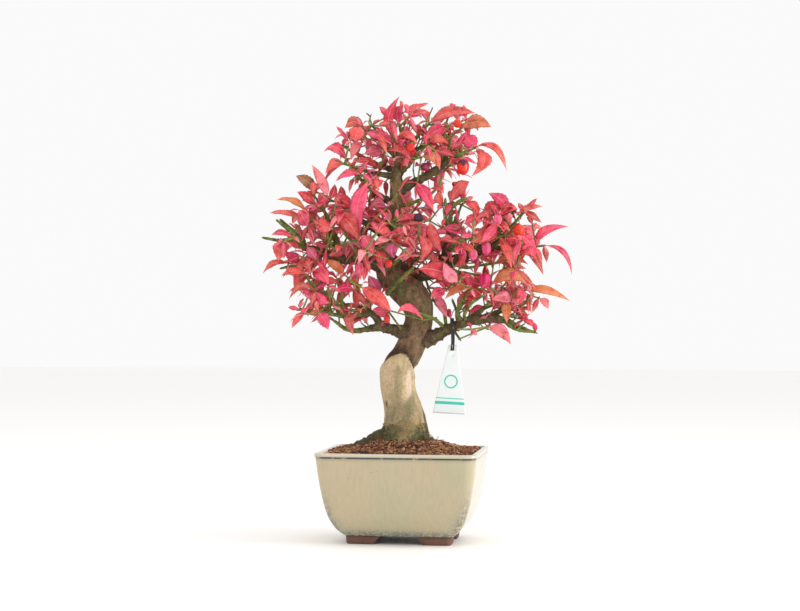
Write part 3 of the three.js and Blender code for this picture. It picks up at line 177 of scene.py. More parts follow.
def tubeRings(centres, radii, sides):
    # point(i, a) = centre(i) + radius(i, a) * (cos a * across(i) + sin a * over(i))
    _, across, over = crossAxes(centres)
    angle = np.arange(sides) * 2 * math.pi / sides
    spokes = np.cos(angle)[:, None] * across[:, None] + np.sin(angle)[:, None] * over[:, None]
    radii = np.broadcast_to(np.asarray(radii).reshape(len(centres), -1), (len(centres), sides))
    return centres[:, None] + radii[..., None] * spokes


def smoothStep(low, high, x):
    t = np.clip((x - low) / (high - low), 0, 1)
    return t * t * (3 - 2 * t)


# Materials

def toLinear(colour):
    # sRGB hex to linear light
    s = np.array([int(colour[i:i + 2], 16) for i in (1, 3, 5)]) / 255
    return tuple(np.where(s <= 0.04045, s / 12.92, ((s + 0.055) / 1.055) ** 2.4))


def addNode(tree, kind, settings=None, take=None, **links):
    # A node with its settings. Each link is a value or another node's output for the socket of that
    # name, in which an underscore stands for a space and a final digit tells twins apart. Gives the
    # output to take, or else the first one in use.
    node = tree.nodes.new("ShaderNode" + kind)
    for name, value in (settings or {}).items():
        setattr(node, name, value)
    for name, value in links.items():
        words = name.replace("_", " ")
        sockets = [s for s in node.inputs if s.enabled and s.name == words.rstrip("0123456789")]
        socket = sockets[int(words[-1]) if words[-1].isdigit() else 0]
        if isinstance(value, bpy.types.NodeSocket):
            tree.links.new(value, socket)
        elif isinstance(value, str):
            socket.default_value = (*toLinear(value), 1)
        else:
            socket.default_value = value
    if take is not None:
        return node.outputs[take]
    return next((output for output in node.outputs if output.enabled), None)


def newMaterial(name, surfaceOf, **settings):
    # surfaceOf(tree) gives the links of the shader: colour, roughness, normal and so on
    material = bpy.data.materials.new(name)
    material.use_nodes = True
    tree = material.node_tree
    tree.nodes.clear()
    shader = addNode(tree, "BsdfPrincipled", **settings, **surfaceOf(tree))
    addNode(tree, "OutputMaterial", Surface=shader)
    return material


# What a Mix or a Math node does
colourMix = {"data_type": "RGBA"}
multiply = {"data_type": "RGBA", "blend_type": "MULTIPLY"}
times = {"operation": "MULTIPLY"}
minus = {"operation": "SUBTRACT"}
unsigned = {"operation": "ABSOLUTE"}


# How the tree grows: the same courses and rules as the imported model's. Each course is a list of
# x, y, z and radius.

trunk = [
    [1, 0, 59, 15], [1, 0, 68, 17.5], [1, 0, 77, 18.5], [1, 0, 84, 16.6], [0, 0, 94, 15],
    [-2, 0, 103, 13.4], [-4, 0, 112, 13], [-5, 0, 121, 12.8], [-4, 0, 130, 12.2], [1, 1, 138, 11.2],
    [6, 2, 147, 10.8], [10, 2, 157, 10.8], [12, 1, 166, 10.3], [11, -1, 175, 11.4],
    [7, -2, 182, 12], [-1, 0, 189, 11.2], [-9, 2, 196, 10], [-13, 3, 204, 8.2], [-13, 3, 214, 6.6],
    [-12, 2, 225, 5.6], [-9, 0, 238, 4.9], [-6, 0, 252, 4.9], [-5, 0, 263, 5], [-5, 0, 274, 4.2],
    [-3, 0, 285, 3.1], [-1, 0, 295, 2.1],
]

roots = [
    [[-6, 0, 80, 12], [-17, -2, 75.5, 9.5], [-29, -4, 71, 7.5], [-39, -5, 67, 6], [-47, -6, 61, 4]],
    [[6, -5, 79, 10], [15, -13, 72.5, 7], [23, -19, 64, 4.5]],
    [[6, 5, 79, 10], [16, 12, 72.5, 7], [25, 18, 64, 4.5]],
    [[-3, 7, 79, 10], [-9, 17, 72.5, 7], [-15, 26, 64, 4.5]],
]

branches = {
    "lowRight": [
        [15, -2, 149, 5.6], [27, -4, 155, 4.6], [38, -6, 160, 4.2], [49, -8, 164, 3.9],
        [62, -10, 166, 3.6], [74, -12, 165, 2.9], [83, -14, 161, 2.1], [91, -15, 158, 1.4],
    ],
    "lowRightUpper": [[58, -9, 166, 2.8], [71, -4, 171, 2.2], [80, -6, 176, 1.7], [87, -8, 180, 1.2]],
    "lowRightRiser": [[43, -7, 161, 2.6], [40, -9, 170, 2], [43, -11, 176, 1.6], [45, -12, 181, 1.2]],
    "lowRightBack": [[48, -8, 164, 2.8], [56, 8, 170, 2.3], [64, 24, 176, 1.8], [71, 38, 180, 1.3]],
    "lowLeft": [
        [3, -2, 155, 5], [-9, -5, 158, 4.2], [-18, -7, 160, 3.8], [-27, -9, 158, 2.4],
        [-36, -11, 157, 2.1], [-44, -12, 159, 1.7], [-51, -13, 164, 1.3],
    ],
    "lowLeftFront": [
        [-17, -7, 160, 3.2], [-20, -10, 166, 2.8], [-24, -13, 170, 2.4], [-34, -16, 169, 2.1],
        [-45, -19, 168, 1.9], [-56, -21, 170, 1.6], [-70, -22, 172, 1.2],
    ],
    "lowLeftBack": [
        [-20, -10, 166, 2.6], [-27, -1, 172, 2.2], [-39, 5, 176, 1.9], [-51, 10, 176, 1.6],
        [-60, 13, 180, 1.2],
    ],
    "midLeft": [
        [-11, 3, 204, 6], [-25, -4, 208, 5], [-38, -9, 210, 4.7], [-49, -12, 212, 4.3],
        [-60, -14, 215, 3.6], [-71, -16, 218, 2.8], [-78, -17, 220, 1.9],
    ],
    "midLeftBack": [[-24, -3, 207, 3.6], [-36, 12, 212, 2.8], [-47, 27, 217, 2.2], [-56, 40, 222, 1.5]],
    "midLeftRiser": [
        [-44, -10, 211, 3], [-49, -13, 221, 2.4], [-53, -15, 233, 1.9], [-58, -15, 244, 1.5],
        [-63, -15, 252, 1.2],
    ],
    "midLeftFork": [
        [-52, -14, 230, 1.8], [-59, -17, 232, 1.6], [-66, -18, 237, 1.4], [-71, -19, 241, 1.2],
    ],
    "lowLeftRiser": [
        [-46, -18, 168, 2.2], [-51, -20, 178, 1.8], [-56, -20, 184, 1.5], [-62, -20, 187, 1.2],
    ],
    "midRightFar": [[64, -6, 217, 2.4], [71, -12, 224, 1.8], [77, -14, 231, 1.5], [85, -15, 240, 1.2]],
    "upperLeft": [[-12, 2, 225, 3.4], [-22, -7, 233, 2.6], [-34, -14, 240, 2.1], [-45, -19, 246, 1.4]],
    "highLeftFront": [
        [-9, -1, 252, 3], [-21, -7, 260, 2.1], [-28, -11, 266, 1.7], [-35, -14, 272, 1.2],
    ],
    "highLeft": [[-5, 0, 272, 2.8], [-18, -4, 274, 2.1], [-28, -8, 276, 1.7], [-38, -11, 279, 1.2]],
    "highLeftBack": [[-4, 2, 276, 2.6], [-19, 9, 282, 2], [-32, 14, 289, 1.6], [-41, 17, 294, 1.2]],
    "highRight": [
        [-5, 0, 261, 4.2], [6, -3, 267, 3.4], [15, -5, 271, 3.1], [27, -8, 278, 2.7],
        [36, -10, 285, 2.2], [47, -12, 290, 1.5],
    ],
    "highRightRiser": [[26, -7, 277, 2.4], [32, -5, 287, 1.7], [34, -3, 295, 1.2]],
    "highRightBack": [[6, -2, 267, 2.8], [16, 13, 274, 2.1], [26, 27, 282, 1.7], [34, 38, 288, 1.2]],
    "crownGreen": [[-3, -1, 274, 2.4], [6, -9, 283, 1.7], [13, -14, 290, 1.2]],
    "crownLeft": [[-3, 0, 285, 2.2], [-13, -3, 294, 1.7], [-20, -5, 305, 1.2]],
    "crownMiddle": [[-1, 0, 294, 1.9], [-2, -3, 304, 1.1]],
    "crownRight": [[-2, 0, 291, 2], [8, 4, 300, 1.5], [15, 6, 308, 1.1]],
    "crownFarRight": [[-3, 0, 286, 2.2], [11, 9, 294, 1.8], [23, 15, 302, 1.3]],
    "crownBack": [[-3, 1, 280, 2.3], [-5, 17, 290, 1.7], [-8, 31, 298, 1.2]],
    "midRight": [
        [-12, 3, 209, 6.2], [-1, 8, 203, 5.8], [11, 8, 199, 5.4], [23, 5, 201, 5.2], [33, 2, 206, 4.8],
        [44, 0, 212, 4.2], [54, -3, 216, 3.4], [64, -6, 217, 2.7], [76, -8, 219, 2.1],
        [90, -10, 219, 1.4],
    ],
    "midRightRiser": [
        [29, 4, 203, 4.2], [32, 2, 216, 3.4], [34, 0, 226, 2.7], [38, -3, 237, 1.9], [41, -5, 245, 1.3],
    ],
    "midRightBack": [[39, 1, 209, 3.4], [50, 16, 215, 2.5], [61, 32, 222, 1.9], [71, 45, 227, 1.3]],
    "midRightFront": [[21, 6, 200, 3.4], [28, -8, 202, 2.6], [34, -20, 200, 2], [39, -28, 197, 1.4]],
    "midRightUpper": [[56, -3, 217, 2.8], [64, -8, 226, 2.1], [72, -12, 235, 1.6], [78, -14, 241, 1.1]],
    "backMiddle": [[-12, 2, 220, 4.2], [-8, 18, 227, 3.3], [-4, 34, 234, 2.5], [1, 48, 240, 1.6]],
    "backLeft": [[-13, 3, 215, 3.8], [-21, 18, 222, 2.8], [-30, 33, 228, 2.1], [-38, 46, 233, 1.4]],
    "backLow": [[-2, 3, 190, 4.4], [1, 19, 201, 3.2], [6, 35, 209, 2.3], [12, 48, 216, 1.5]],
    "frontMiddle": [[-9, 0, 233, 3.2], [-6, -14, 235, 2.4], [-2, -27, 230, 1.8], [1, -37, 227, 1.2]],
    "frontRight": [[32, 2, 216, 3], [37, -13, 219, 2.2], [42, -26, 222, 1.6], [47, -35, 225, 1.2]],
    "frontLeft": [[-37, -9, 210, 3], [-34, -21, 213, 2.2], [-32, -31, 213, 1.6], [-30, -39, 214, 1.2]],
}

woodTwigs = [
    [[31, -5, 159, 1.6], [22, -15, 166, 1.4], [11, -18, 170, 1.2], [0, -16, 173, 0.9]],
    [[-3, -4, 188, 2.4], [-12, -12, 185, 2], [-3, -17, 194, 1.7], [8, -18, 204, 1.3]],
    [
        [-6, 0, 250, 1.9], [6, -5, 252, 1.5], [19, -8, 258, 1.2], [26, -8, 265, 1.1],
        [29, -8, 273, 0.8],
    ],
    [[-11, 0, 204, 2.2], [-6, -8, 208, 1.6], [0, -9, 215, 1.4], [6, -8, 221, 1.1]],
    [[36, 1, 207, 1.6], [47, -7, 204, 1.2], [60, -9, 206, 1.1], [75, -12, 208, 0.8]],
    [[33, 2, 206, 1.6], [40, -6, 201, 1.2], [47, -8, 200, 1], [57, -10, 198, 0.8]],
    [[44, -7, 163, 1.6], [40, -13, 171, 1.3], [43, -15, 181, 1]],
    [[41, -6, 162, 1.6], [40, -6, 170, 1.3], [36, -6, 181, 0.9]],
    [[47, -8, 164, 1.6], [45, -14, 169, 1.4], [50, -18, 177, 1.2], [60, -22, 184, 0.9]],
    [[32, -5, 160, 1.6], [30, 0, 170, 1.2], [24, 3, 178, 1], [19, 5, 181, 0.8]],
    [[74, -12, 165, 1.8], [83, -17, 158, 1.4], [98, -19, 156, 1.1]],
    [[71, -11, 166, 1.6], [79, -16, 168, 1.2], [87, -18, 168, 0.9]],
    [[34, 0, 228, 2], [32, -5, 238, 1.5], [31, -7, 256, 1.1]],
    [[36, -1, 232, 2], [35, -7, 246, 1.6], [40, -9, 252, 1.6], [47, -11, 256, 1.4]],
    [[-74, -16, 219, 1.9], [-79, -19, 227, 1.6], [-87, -20, 233, 1.3], [-94, -22, 239, 1]],
    [[-72, -16, 218, 1.9], [-76, -13, 227, 1.6], [-84, -12, 233, 1.3], [-92, -12, 240, 1]],
    [[-74, -16, 219, 1.7], [-83, -16, 224, 1.4], [-94, -17, 224, 1.3], [-105, -17, 226, 1]],
    [[-68, -15, 218, 1.7], [-72, -14, 210, 1.4], [-79, -13, 206, 1.3], [-92, -13, 203, 1]],
    [[-49, -13, 220, 1.8], [-54, -19, 222, 1.4], [-56, -21, 228, 1.3], [-56, -21, 234, 1]],
    [[-47, -11, 212, 1.8], [-52, -19, 216, 1.5], [-43, -26, 221, 1.4], [-33, -30, 223, 1]],
    [[-43, -19, 168, 1.7], [-46, -15, 179, 1.4], [-47, -14, 194, 1]],
]

# how many sprays stand on the side of a branch
sideSprays = {
    "lowRight": 2, "lowRightBack": 1, "lowLeftFront": 1, "midLeft": 2, "midLeftBack": 1,
    "highRightBack": 1, "midRight": 2, "midRightBack": 1, "backMiddle": 1, "backLeft": 1,
    "backLow": 1, "upperLeft": 1, "crownBack": 1,
}

# bare tips, each from the nearest joint of a spray
shownTwigs = [
    [[-24, -5, 310], [-25, -6, 316], [-28, -7, 319]],
    [[-25, -6, 315], [-24, -4, 319]],
    [[-3, -3, 306], [-4, -5, 316]],
    [[-1, -2, 306], [2, -1, 318]],
    [[16, 5, 310], [22, 3, 325]],
    [[35, -4, 294], [44, -6, 302]],
    [[31, -3, 300], [32, -4, 308], [40, -7, 314]],
    [[-40, -12, 279], [-51, -15, 283]],
    [[-41, 17, 294], [-47, 17, 298]],
    [[-35, -14, 271], [-39, -13, 265]],
    [[-74, -22, 174], [-78, -23, 176]],
    [[-74, -22, 172], [-79, -24, 172]],
]

# base, middle and tip of the midrib, width, how far the face is turned up in degrees, and colour
shownLeaves = [
    [[-8, -4, 302], [-11, -7, 316], [-3, -8, 331], 8, 50, "crimson"],
    [[-12, -4, 317], [-15, -6, 321], [-18, -6, 324], 5, 30, "pink"],
    [[-2, -3, 312], [-5, -6, 320], [0, -8, 325], 9, 20, "magenta"],
    [[0, -2, 320], [8, -4, 323], [19, -4, 327], 8, 45, "coral"],
    [[3, 0, 316], [12, 0, 320], [20, 3, 321], 7, 45, "coral"],
    [[-28, -6, 304], [-37, -8, 312], [-44, -9, 307], 12, 35, "brick"],
    [[-32, -9, 309], [-35, -12, 303], [-36, -12, 297], 12, 10, "coral"],
    [[-6, -8, 295], [-17, -12, 301], [-28, -14, 304], 10, 15, "pink"],
    [[-7, -12, 298], [2, -15, 302], [11, -16, 294], 9, 40, "coral"],
    [[-13, -10, 289], [-4, -15, 292], [5, -18, 284], 9, 45, "coral"],
    [[-41, -10, 283], [-50, -12, 293], [-59, -12, 290], 9, 25, "pink"],
    [[-44, -12, 280], [-51, -15, 281], [-58, -16, 273], 9, 30, "coral"],
    [[-31, -14, 272], [-41, -16, 273], [-50, -17, 267], 7, 35, "pink"],
    [[-18, -6, 276], [-27, -9, 283], [-37, -10, 282], 9, 40, "coral"],
    [[-31, -6, 297], [-36, -8, 293], [-39, -9, 284], 8, 35, "pale"],
    [[-16, -8, 293], [-22, -11, 290], [-29, -12, 288], 11, 15, "violet"],
    [[-26, -16, 267], [-34, -21, 248], [-33, -24, 225], 12.5, 8, "bright"],
    [[-65, -10, 261], [-72, -12, 268], [-80, -12, 272], 9, 20, "olive"],
    [[-55, -12, 256], [-61, -14, 268], [-68, -14, 280], 8, 30, "pale"],
    [[-66, -12, 250], [-71, -14, 256], [-79, -14, 260], 9, 25, "red"],
    [[-71, -14, 244], [-81, -16, 253], [-94, -16, 254], 7, 45, "orange"],
    [[-74, -15, 240], [-87, -18, 244], [-99, -18, 244], 6, 40, "coral"],
    [[-54, -10, 254], [-52, -10, 260], [-51, -9, 266], 6, 30, "crimson"],
    [[-24, -8, 261], [-20, -7, 266], [-15, -4, 269], 8, 25, "coral"],
    [[21, 8, 315], [35, 4, 321], [54, 2, 320], 12, 35, "coral"],
    [[43, -8, 308], [54, -11, 312], [65, -12, 308], 12.5, 25, "orange"],
    [[32, 4, 310], [24, -1, 306], [14, -4, 299], 11, 20, "magenta"],
    [[55, -10, 294], [49, -9, 298], [44, -6, 304], 12, 20, "pink"],
    [[55, -11, 295], [68, -15, 292], [76, -17, 275], 7, 40, "coral"],
    [[54, -12, 290], [60, -16, 283], [50, -18, 271], 11, 10, "coral"],
    [[24, -8, 290], [31, -11, 289], [37, -12, 286], 7, 40, "crimson"],
    [[18, -2, 297], [25, -5, 300], [33, -6, 296], 10, 30, "coral"],
    [[12, -13, 285], [20, -16, 286], [25, -18, 278], 9, 40, "orange"],
    [[10, -8, 266], [16, -12, 258], [22, -14, 246], 10, 20, "magenta"],
    [[34, -5, 252], [42, -8, 264], [49, -8, 268], 9.5, 20, "coral"],
    [[28, -4, 250], [26, -6, 256], [28, -6, 262], 7, 20, "coral"],
    [[46, -6, 253], [52, -10, 250], [56, -12, 242], 7.5, 30, "coral"],
    [[77, -14, 244], [72, -14, 254], [63, -12, 259], 10, 20, "magenta"],
    [[61, -12, 241], [66, -12, 248], [76, -10, 252], 12, 15, "crimson"],
    [[70, -15, 241], [77, -18, 248], [84, -18, 247], 10, 25, "crimson"],
    [[85, -14, 243], [93, -14, 248], [103, -12, 249], 7, 45, "coral"],
    [[88, -14, 243], [95, -16, 242], [102, -16, 237], 6.5, 30, "brick"],
    [[96, -12, 222], [105, -15, 231], [122, -16, 234], 8, 30, "pink"],
    [[105, -13, 220], [118, -18, 215], [124, -20, 198], 4.5, 20, "pink"],
    [[89, -14, 218], [97, -18, 211], [103, -20, 198], 6.5, 20, "brick"],
    [[88, -15, 218], [95, -18, 216], [94, -20, 209], 8, 20, "pink"],
    [[65, -16, 190], [77, -20, 199], [91, -22, 191], 12, 25, "orange"],
    [[89, -10, 187], [105, -14, 187], [123, -16, 179], 8, 35, "orange"],
    [[101, -12, 181], [105, -14, 178], [107, -14, 173], 6, 20, "pale"],
    [[84, -14, 189], [87, -17, 183], [81, -18, 175], 8.5, 10, "pink"],
    [[40, -22, 194], [25, -28, 201], [11, -32, 202], 14.5, 5, "red"],
    [[39, -23, 192], [33, -26, 198], [29, -26, 207], 10, 15, "pale"],
    [[50, -20, 188], [40, -25, 188], [30, -28, 180], 8.5, 45, "orange"],
    [[31, -14, 187], [25, -17, 185], [20, -18, 182], 9, 20, "pink"],
    [[58, -10, 192], [49, -13, 194], [42, -14, 202], 8, 20, "crimson"],
    [[60, -12, 187], [51, -15, 184], [42, -16, 183], 11, 25, "coral"],
    [[80, -12, 180], [74, -16, 182], [65, -18, 180], 11, 25, "pale"],
    [[75, -10, 180], [76, -14, 172], [76, -16, 163], 8, 15, "orange"],
    [[71, -6, 183], [78, -9, 178], [82, -10, 171], 10, 15, "coral"],
    [[63, -12, 160], [72, -17, 157], [79, -20, 147], 9.5, 5, "pale"],
    [[85, -10, 172], [88, -13, 167], [94, -14, 170], 6, 25, "pink"],
    [[90, -12, 165], [94, -14, 163], [97, -15, 160], 5, 20, "pink"],
    [[49, -10, 158], [52, -13, 156], [54, -14, 154], 5, 20, "pale"],
    [[19, -10, 238], [22, -16, 226], [28, -20, 215], 9.5, 15, "coral"],
    [[10, -10, 236], [3, -15, 241], [-6, -18, 237], 8, 45, "pink"],
    [[29, -10, 233], [39, -15, 232], [47, -18, 228], 9, 25, "pink"],
    [[58, -12, 240], [51, -16, 240], [45, -18, 236], 8, 25, "crimson"],
    [[70, -16, 235], [61, -21, 228], [49, -24, 222], 13, 15, "coral"],
    [[68, -20, 236], [63, -24, 229], [57, -26, 222], 8, 10, "bright"],
    [[71, -14, 226], [76, -19, 217], [79, -22, 203], 8, 15, "coral"],
    [[67, -12, 208], [80, -15, 211], [92, -16, 206], 9, 30, "orange"],
    [[75, -10, 203], [82, -12, 205], [91, -12, 203], 8, 30, "pale"],
    [[55, -12, 212], [63, -15, 213], [71, -16, 214], 7.5, 25, "crimson"],
    [[11, -20, 227], [17, -25, 219], [12, -28, 208], 10, 15, "coral"],
    [[7, -6, 219], [2, -9, 214], [-1, -10, 208], 8, 15, "pale"],
    [[76, -16, 227], [80, -19, 224], [85, -20, 222], 8, 15, "pink"],
    [[97, -13, 220], [91, -16, 224], [87, -16, 228], 9, 15, "pink"],
    [[82, -14, 203], [89, -17, 197], [97, -18, 188], 5, 20, "brick"],
    [[-52, -14, 244], [-40, -17, 236], [-34, -18, 224], 13.5, 5, "red"],
    [[-52, -16, 231], [-59, -19, 234], [-66, -20, 238], 11, 15, "coral"],
    [[-70, -17, 233], [-74, -20, 240], [-77, -20, 246], 10, 15, "pink"],
    [[-82, -18, 225], [-90, -20, 229], [-97, -20, 227], 6.5, 40, "crimson"],
    [[-86, -18, 222], [-91, -22, 217], [-92, -24, 208], 11.5, 8, "coral"],
    [[-77, -16, 207], [-82, -18, 211], [-88, -18, 215], 8.5, 15, "magenta"],
    [[-86, -14, 207], [-96, -17, 207], [-104, -18, 199], 6, 35, "coral"],
    [[-78, -18, 207], [-72, -22, 208], [-68, -24, 199], 10, 15, "crimson"],
    [[-72, -18, 199], [-81, -21, 201], [-90, -22, 197], 6.5, 35, "coral"],
    [[-69, -16, 200], [-76, -20, 195], [-80, -22, 188], 6.5, 25, "coral"],
    [[-65, -20, 187], [-75, -24, 190], [-84, -26, 180], 6.5, 35, "brick"],
    [[-67, -18, 202], [-60, -23, 199], [-55, -26, 191], 11.5, 10, "pink"],
    [[-49, -12, 194], [-53, -15, 194], [-57, -16, 190], 7, 25, "coral"],
    [[-16, -20, 200], [-31, -25, 208], [-46, -28, 207], 11.5, 30, "magenta"],
    [[-43, -16, 199], [-50, -16, 205], [-59, -14, 210], 8, 25, "orange"],
    [[-31, -24, 227], [-26, -29, 221], [-22, -32, 214], 10.5, 10, "bright"],
    [[-40, -16, 224], [-42, -21, 218], [-42, -24, 211], 9, 10, "violet"],
    [[-64, -20, 210], [-68, -22, 215], [-71, -22, 219], 9, 20, "violet"],
    [[-16, -12, 185], [-22, -15, 191], [-26, -16, 198], 9.5, 15, "violet"],
    [[-31, -22, 189], [-20, -28, 182], [-9, -32, 171], 11.5, 10, "coral"],
    [[-37, -14, 187], [-43, -18, 189], [-51, -20, 186], 9, 25, "magenta"],
    [[-54, -16, 178], [-63, -19, 181], [-73, -20, 183], 10, 20, "pink"],
    [[-63, -22, 170], [-58, -26, 165], [-55, -28, 158], 9.5, 8, "pink"],
    [[-72, -22, 171], [-78, -25, 166], [-82, -26, 159], 5.5, 20, "coral"],
    [[-40, -18, 172], [-40, -23, 164], [-37, -26, 154], 7.5, 8, "brick"],
    [[-35, -14, 171], [-30, -16, 168], [-27, -16, 162], 6, 15, "pale"],
    [[-11, -14, 171], [-17, -18, 171], [-23, -20, 173], 9, 20, "pink"],
    [[15, -20, 165], [4, -26, 174], [-5, -30, 170], 8, 35, "bright"],
    [[-9, -36, 225], [-3, -40, 228], [4, -42, 232], 9.5, 20, "red"],
    [[-9, -36, 226], [-15, -38, 230], [-22, -38, 232], 8, 25, "coral"],
    [[-10, -37, 223], [-16, -40, 223], [-21, -42, 219], 6.5, 30, "pale"],
    [[-6, -36, 221], [-9, -39, 216], [-7, -40, 210], 9.5, 12, "violet"],
    [[-21, -26, 216], [-17, -30, 211], [-16, -32, 202], 8.5, 15, "red"],
    [[-14, -10, 236], [-21, -13, 241], [-28, -14, 241], 7, 40, "crimson"],
    [[-12, -10, 249], [-19, -13, 252], [-26, -14, 246], 10, 20, "violet"],
    [[-38, -14, 248], [-45, -16, 253], [-51, -16, 254], 11, 15, "red"],
    [[-58, -12, 248], [-60, -13, 254], [-63, -12, 258], 8, 10, "pink"],
]

# middle, half width and half height
fruits = [
    [[44, -13, 278], [4.7, 6.2]],
    [[5, -20, 292], [3.6, 3.8]],
    [[40, -10, 311], [3.8, 3.4]],
    [[85, -20, 231], [4.6, 4.8]],
    [[-11, -36, 206], [2.9, 3.2]],
    [[-12, -18, 166], [2.4, 3.8]],
    [[60, -20, 194], [4.6, 6.2]],
    [[43, -26, 213], [3.2, 5]],
    [[51, -24, 213], [4.2, 4.6]],
    [[61, -24, 218], [3.8, 5.4]],
    [[16, -8, 279], [3.8, 3.6]],
    [[11, -16, 240], [4.6, 4.2]],
    [[69, -22, 239], [3.6, 4.4]],
]

growth = {
    "rootLength": 7, "nodeLength": 1.8, "twigRadius": 1.1, "tipRadius": 0.8, "gap": 0.3,
    "jointReach": 3, "turnCost": 14, "spraysTried": 3, "crownMiddle": 5,
    "sideTurn": 2.4, "bareEnds": ["midLeft"],
    "twigSeed": 1000, "leafSeed": 5000,
    # the twigs and leaves that the rule adds: a pair is the lowest value and how far it goes beyond
    "twig": {"length": (9, 9), "lean": 0.55, "rise": 0.4},
    "leaf": {"length": (15, 16), "droop": (0.05, 0.5), "slimness": (0.31, 0.12), "lean": 0.35, "rise": 0.25},
    "rowColours": ["coral", "pink", "magenta", "crimson", "red", "bright", "pale", "brick"],
}
upward = np.array([0, 0, 1.0])


def drawsFrom(seed):
    # Numbers between 0 and 1 by x -> 1664525 x + 1013904223 modulo 2^32
    state = seed * 747796405 % 2**32
    while True:
        state = (state * 1664525 + 1013904223) % 2**32
        yield state / 2**32


def drawn(span, draw):
    low, beyond = span
    return low + beyond * next(draw)


def facing(ring):
    return unit(np.cross(ring[2] - ring[0], ring[3] - ring[1]))


def followRings(ring, places):
    # Rings over the given places, with corners that follow on from the first ring's
    rings, low, start = [], ring, ring.mean(0)
    for point, radius in places:
        way = unit(point - start)
        out = low - low.mean(0)
        low = point + radius * unit(out - (out @ way)[:, None] * way)
        rings.append(low)
        start = point
    return rings


def isPacked(spray, tips):
    # A leaf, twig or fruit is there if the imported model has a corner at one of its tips.
    return np.linalg.norm(spray["corners"][:, None] - np.atleast_2d(tips), axis=-1).min() < 0.03


def takeFace(spray, face):
    spray["open"] = [other for other in spray["open"] if other is not face]


def addStalk(spray, face, rings, kind):
    # A stalk over a face, with four open faces about its node and one at its end
    takeFace(spray, face)
    low, high = rings
    for j in range(4):
        k = (j + 1) % 4
        spray["open"].append(np.array([low[j], low[k], high[k], high[j]]))
    spray["open"].append(high)
    spray["stalks"].append({"kind": kind, "course": [face.mean(0), low.mean(0), high.mean(0)]})


def startSpray(name, start, along, radius, branchRadius):
    reference = np.array([1.0, 0, 0]) if abs(along[1]) > 0.9 else np.array([0, 1.0, 0])
    across = unit(reference - reference @ along * along)
    over = np.cross(along, across)
    ring = start + radius * np.array([across, over, -across, -over])
    node = frame["nodes"][name]
    corners = np.empty(len(node.data.vertices) * 3)
    node.data.vertices.foreach_get("co", corners)
    spray = {
        "name": name, "along": along, "start": start, "open": [ring], "stalks": [],
        "leaves": [], "twigs": [], "fruit": [], "radius": branchRadius,
        "corners": (corners.reshape(-1, 3) * 1000 - potCentre) @ treeAxes.T,
    }
    reach = growth["rootLength"]
    places = [(start + along * (reach - growth["nodeLength"]), growth["twigRadius"])]
    places.append((start + along * reach, growth["twigRadius"]))
    addStalk(spray, ring, followRings(ring, places), "root")
    return spray


def nodeName(name):
    # lowRightSide2 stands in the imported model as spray_low_right_side_2
    return "spray_" + "".join(c if c.islower() else "_" + c.lower() for c in name)


def branchSpray(name, course):
    last, before = np.array(course[-1][:3], float), np.array(course[-2][:3], float)
    along = unit(last - before)
    return startSpray(nodeName(name), last + along * growth["gap"], along, course[-1][3], course[-1][3])


def sideSpray(name, course, share, turn):
    place = share * (len(course) - 1)
    i = min(int(place), len(course) - 2)
    low, high = np.array(course[i], float), np.array(course[i + 1], float)
    at = low + (high - low) * (place - i)
    along = unit((high - low)[:3])
    out = unit(np.array([0, 1.0, 0]) - along * along[1])
    out = out * math.cos(turn) + np.cross(along, out) * math.sin(turn)
    start = at[:3] + out * (at[3] + growth["gap"])
    return startSpray(nodeName(name), start, unit(out + along * 0.2), growth["twigRadius"], at[3])


def bestFace(faces, target, way):
    costs = []
    for face in faces:
        middle = face.mean(0)
        apart = np.linalg.norm(middle - target)
        onward = way if apart < growth["jointReach"] else unit(target - middle)
        costs.append(apart + growth["turnCost"] * (1 - max(facing(face) @ onward, 0)))
    best = int(np.argmin(costs))
    return costs[best], faces[best]


def packedChoice(sprays, target, way, tip):
    # Of the sprays that are best placed for something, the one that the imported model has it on
    choices = [(*bestFace(spray["open"], target, way), spray) for spray in sprays]
    for _, face, spray in sorted(choices, key=lambda choice: choice[0])[:growth["spraysTried"]]:
        if isPacked(spray, tip):
            return face, spray
    return None


def addLeaf(spray, face, leaf):
    way = unit(leaf["middle"] - leaf["base"])
    apart = leaf["base"] - face.mean(0)
    length = np.linalg.norm(apart)
    if length >= growth["jointReach"]:
        start, on = face.mean(0), unit(apart)
        ends = [start + on * (length - growth["nodeLength"]), start + on * length]
        rings = followRings(face, [(end, growth["tipRadius"]) for end in ends])
        addStalk(spray, face, rings, "leaf")
        face = bestFace(spray["open"][-5:], leaf["base"], way)[1]
    takeFace(spray, face)
    leaf["base"] = face.mean(0)
    leaf["out"] = facing(face)
    spray["leaves"].append(leaf)


def firstRoom(sprays, start, way, ends):
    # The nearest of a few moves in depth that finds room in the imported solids, with its face and spray
    for depth in (0, -3, 3, -6, 6, -9, 9):
        move = np.array([0, depth, 0.0])
        choice = packedChoice(sprays, start + move, way, ends + move)
        if choice:
            return move, *choice
    return None


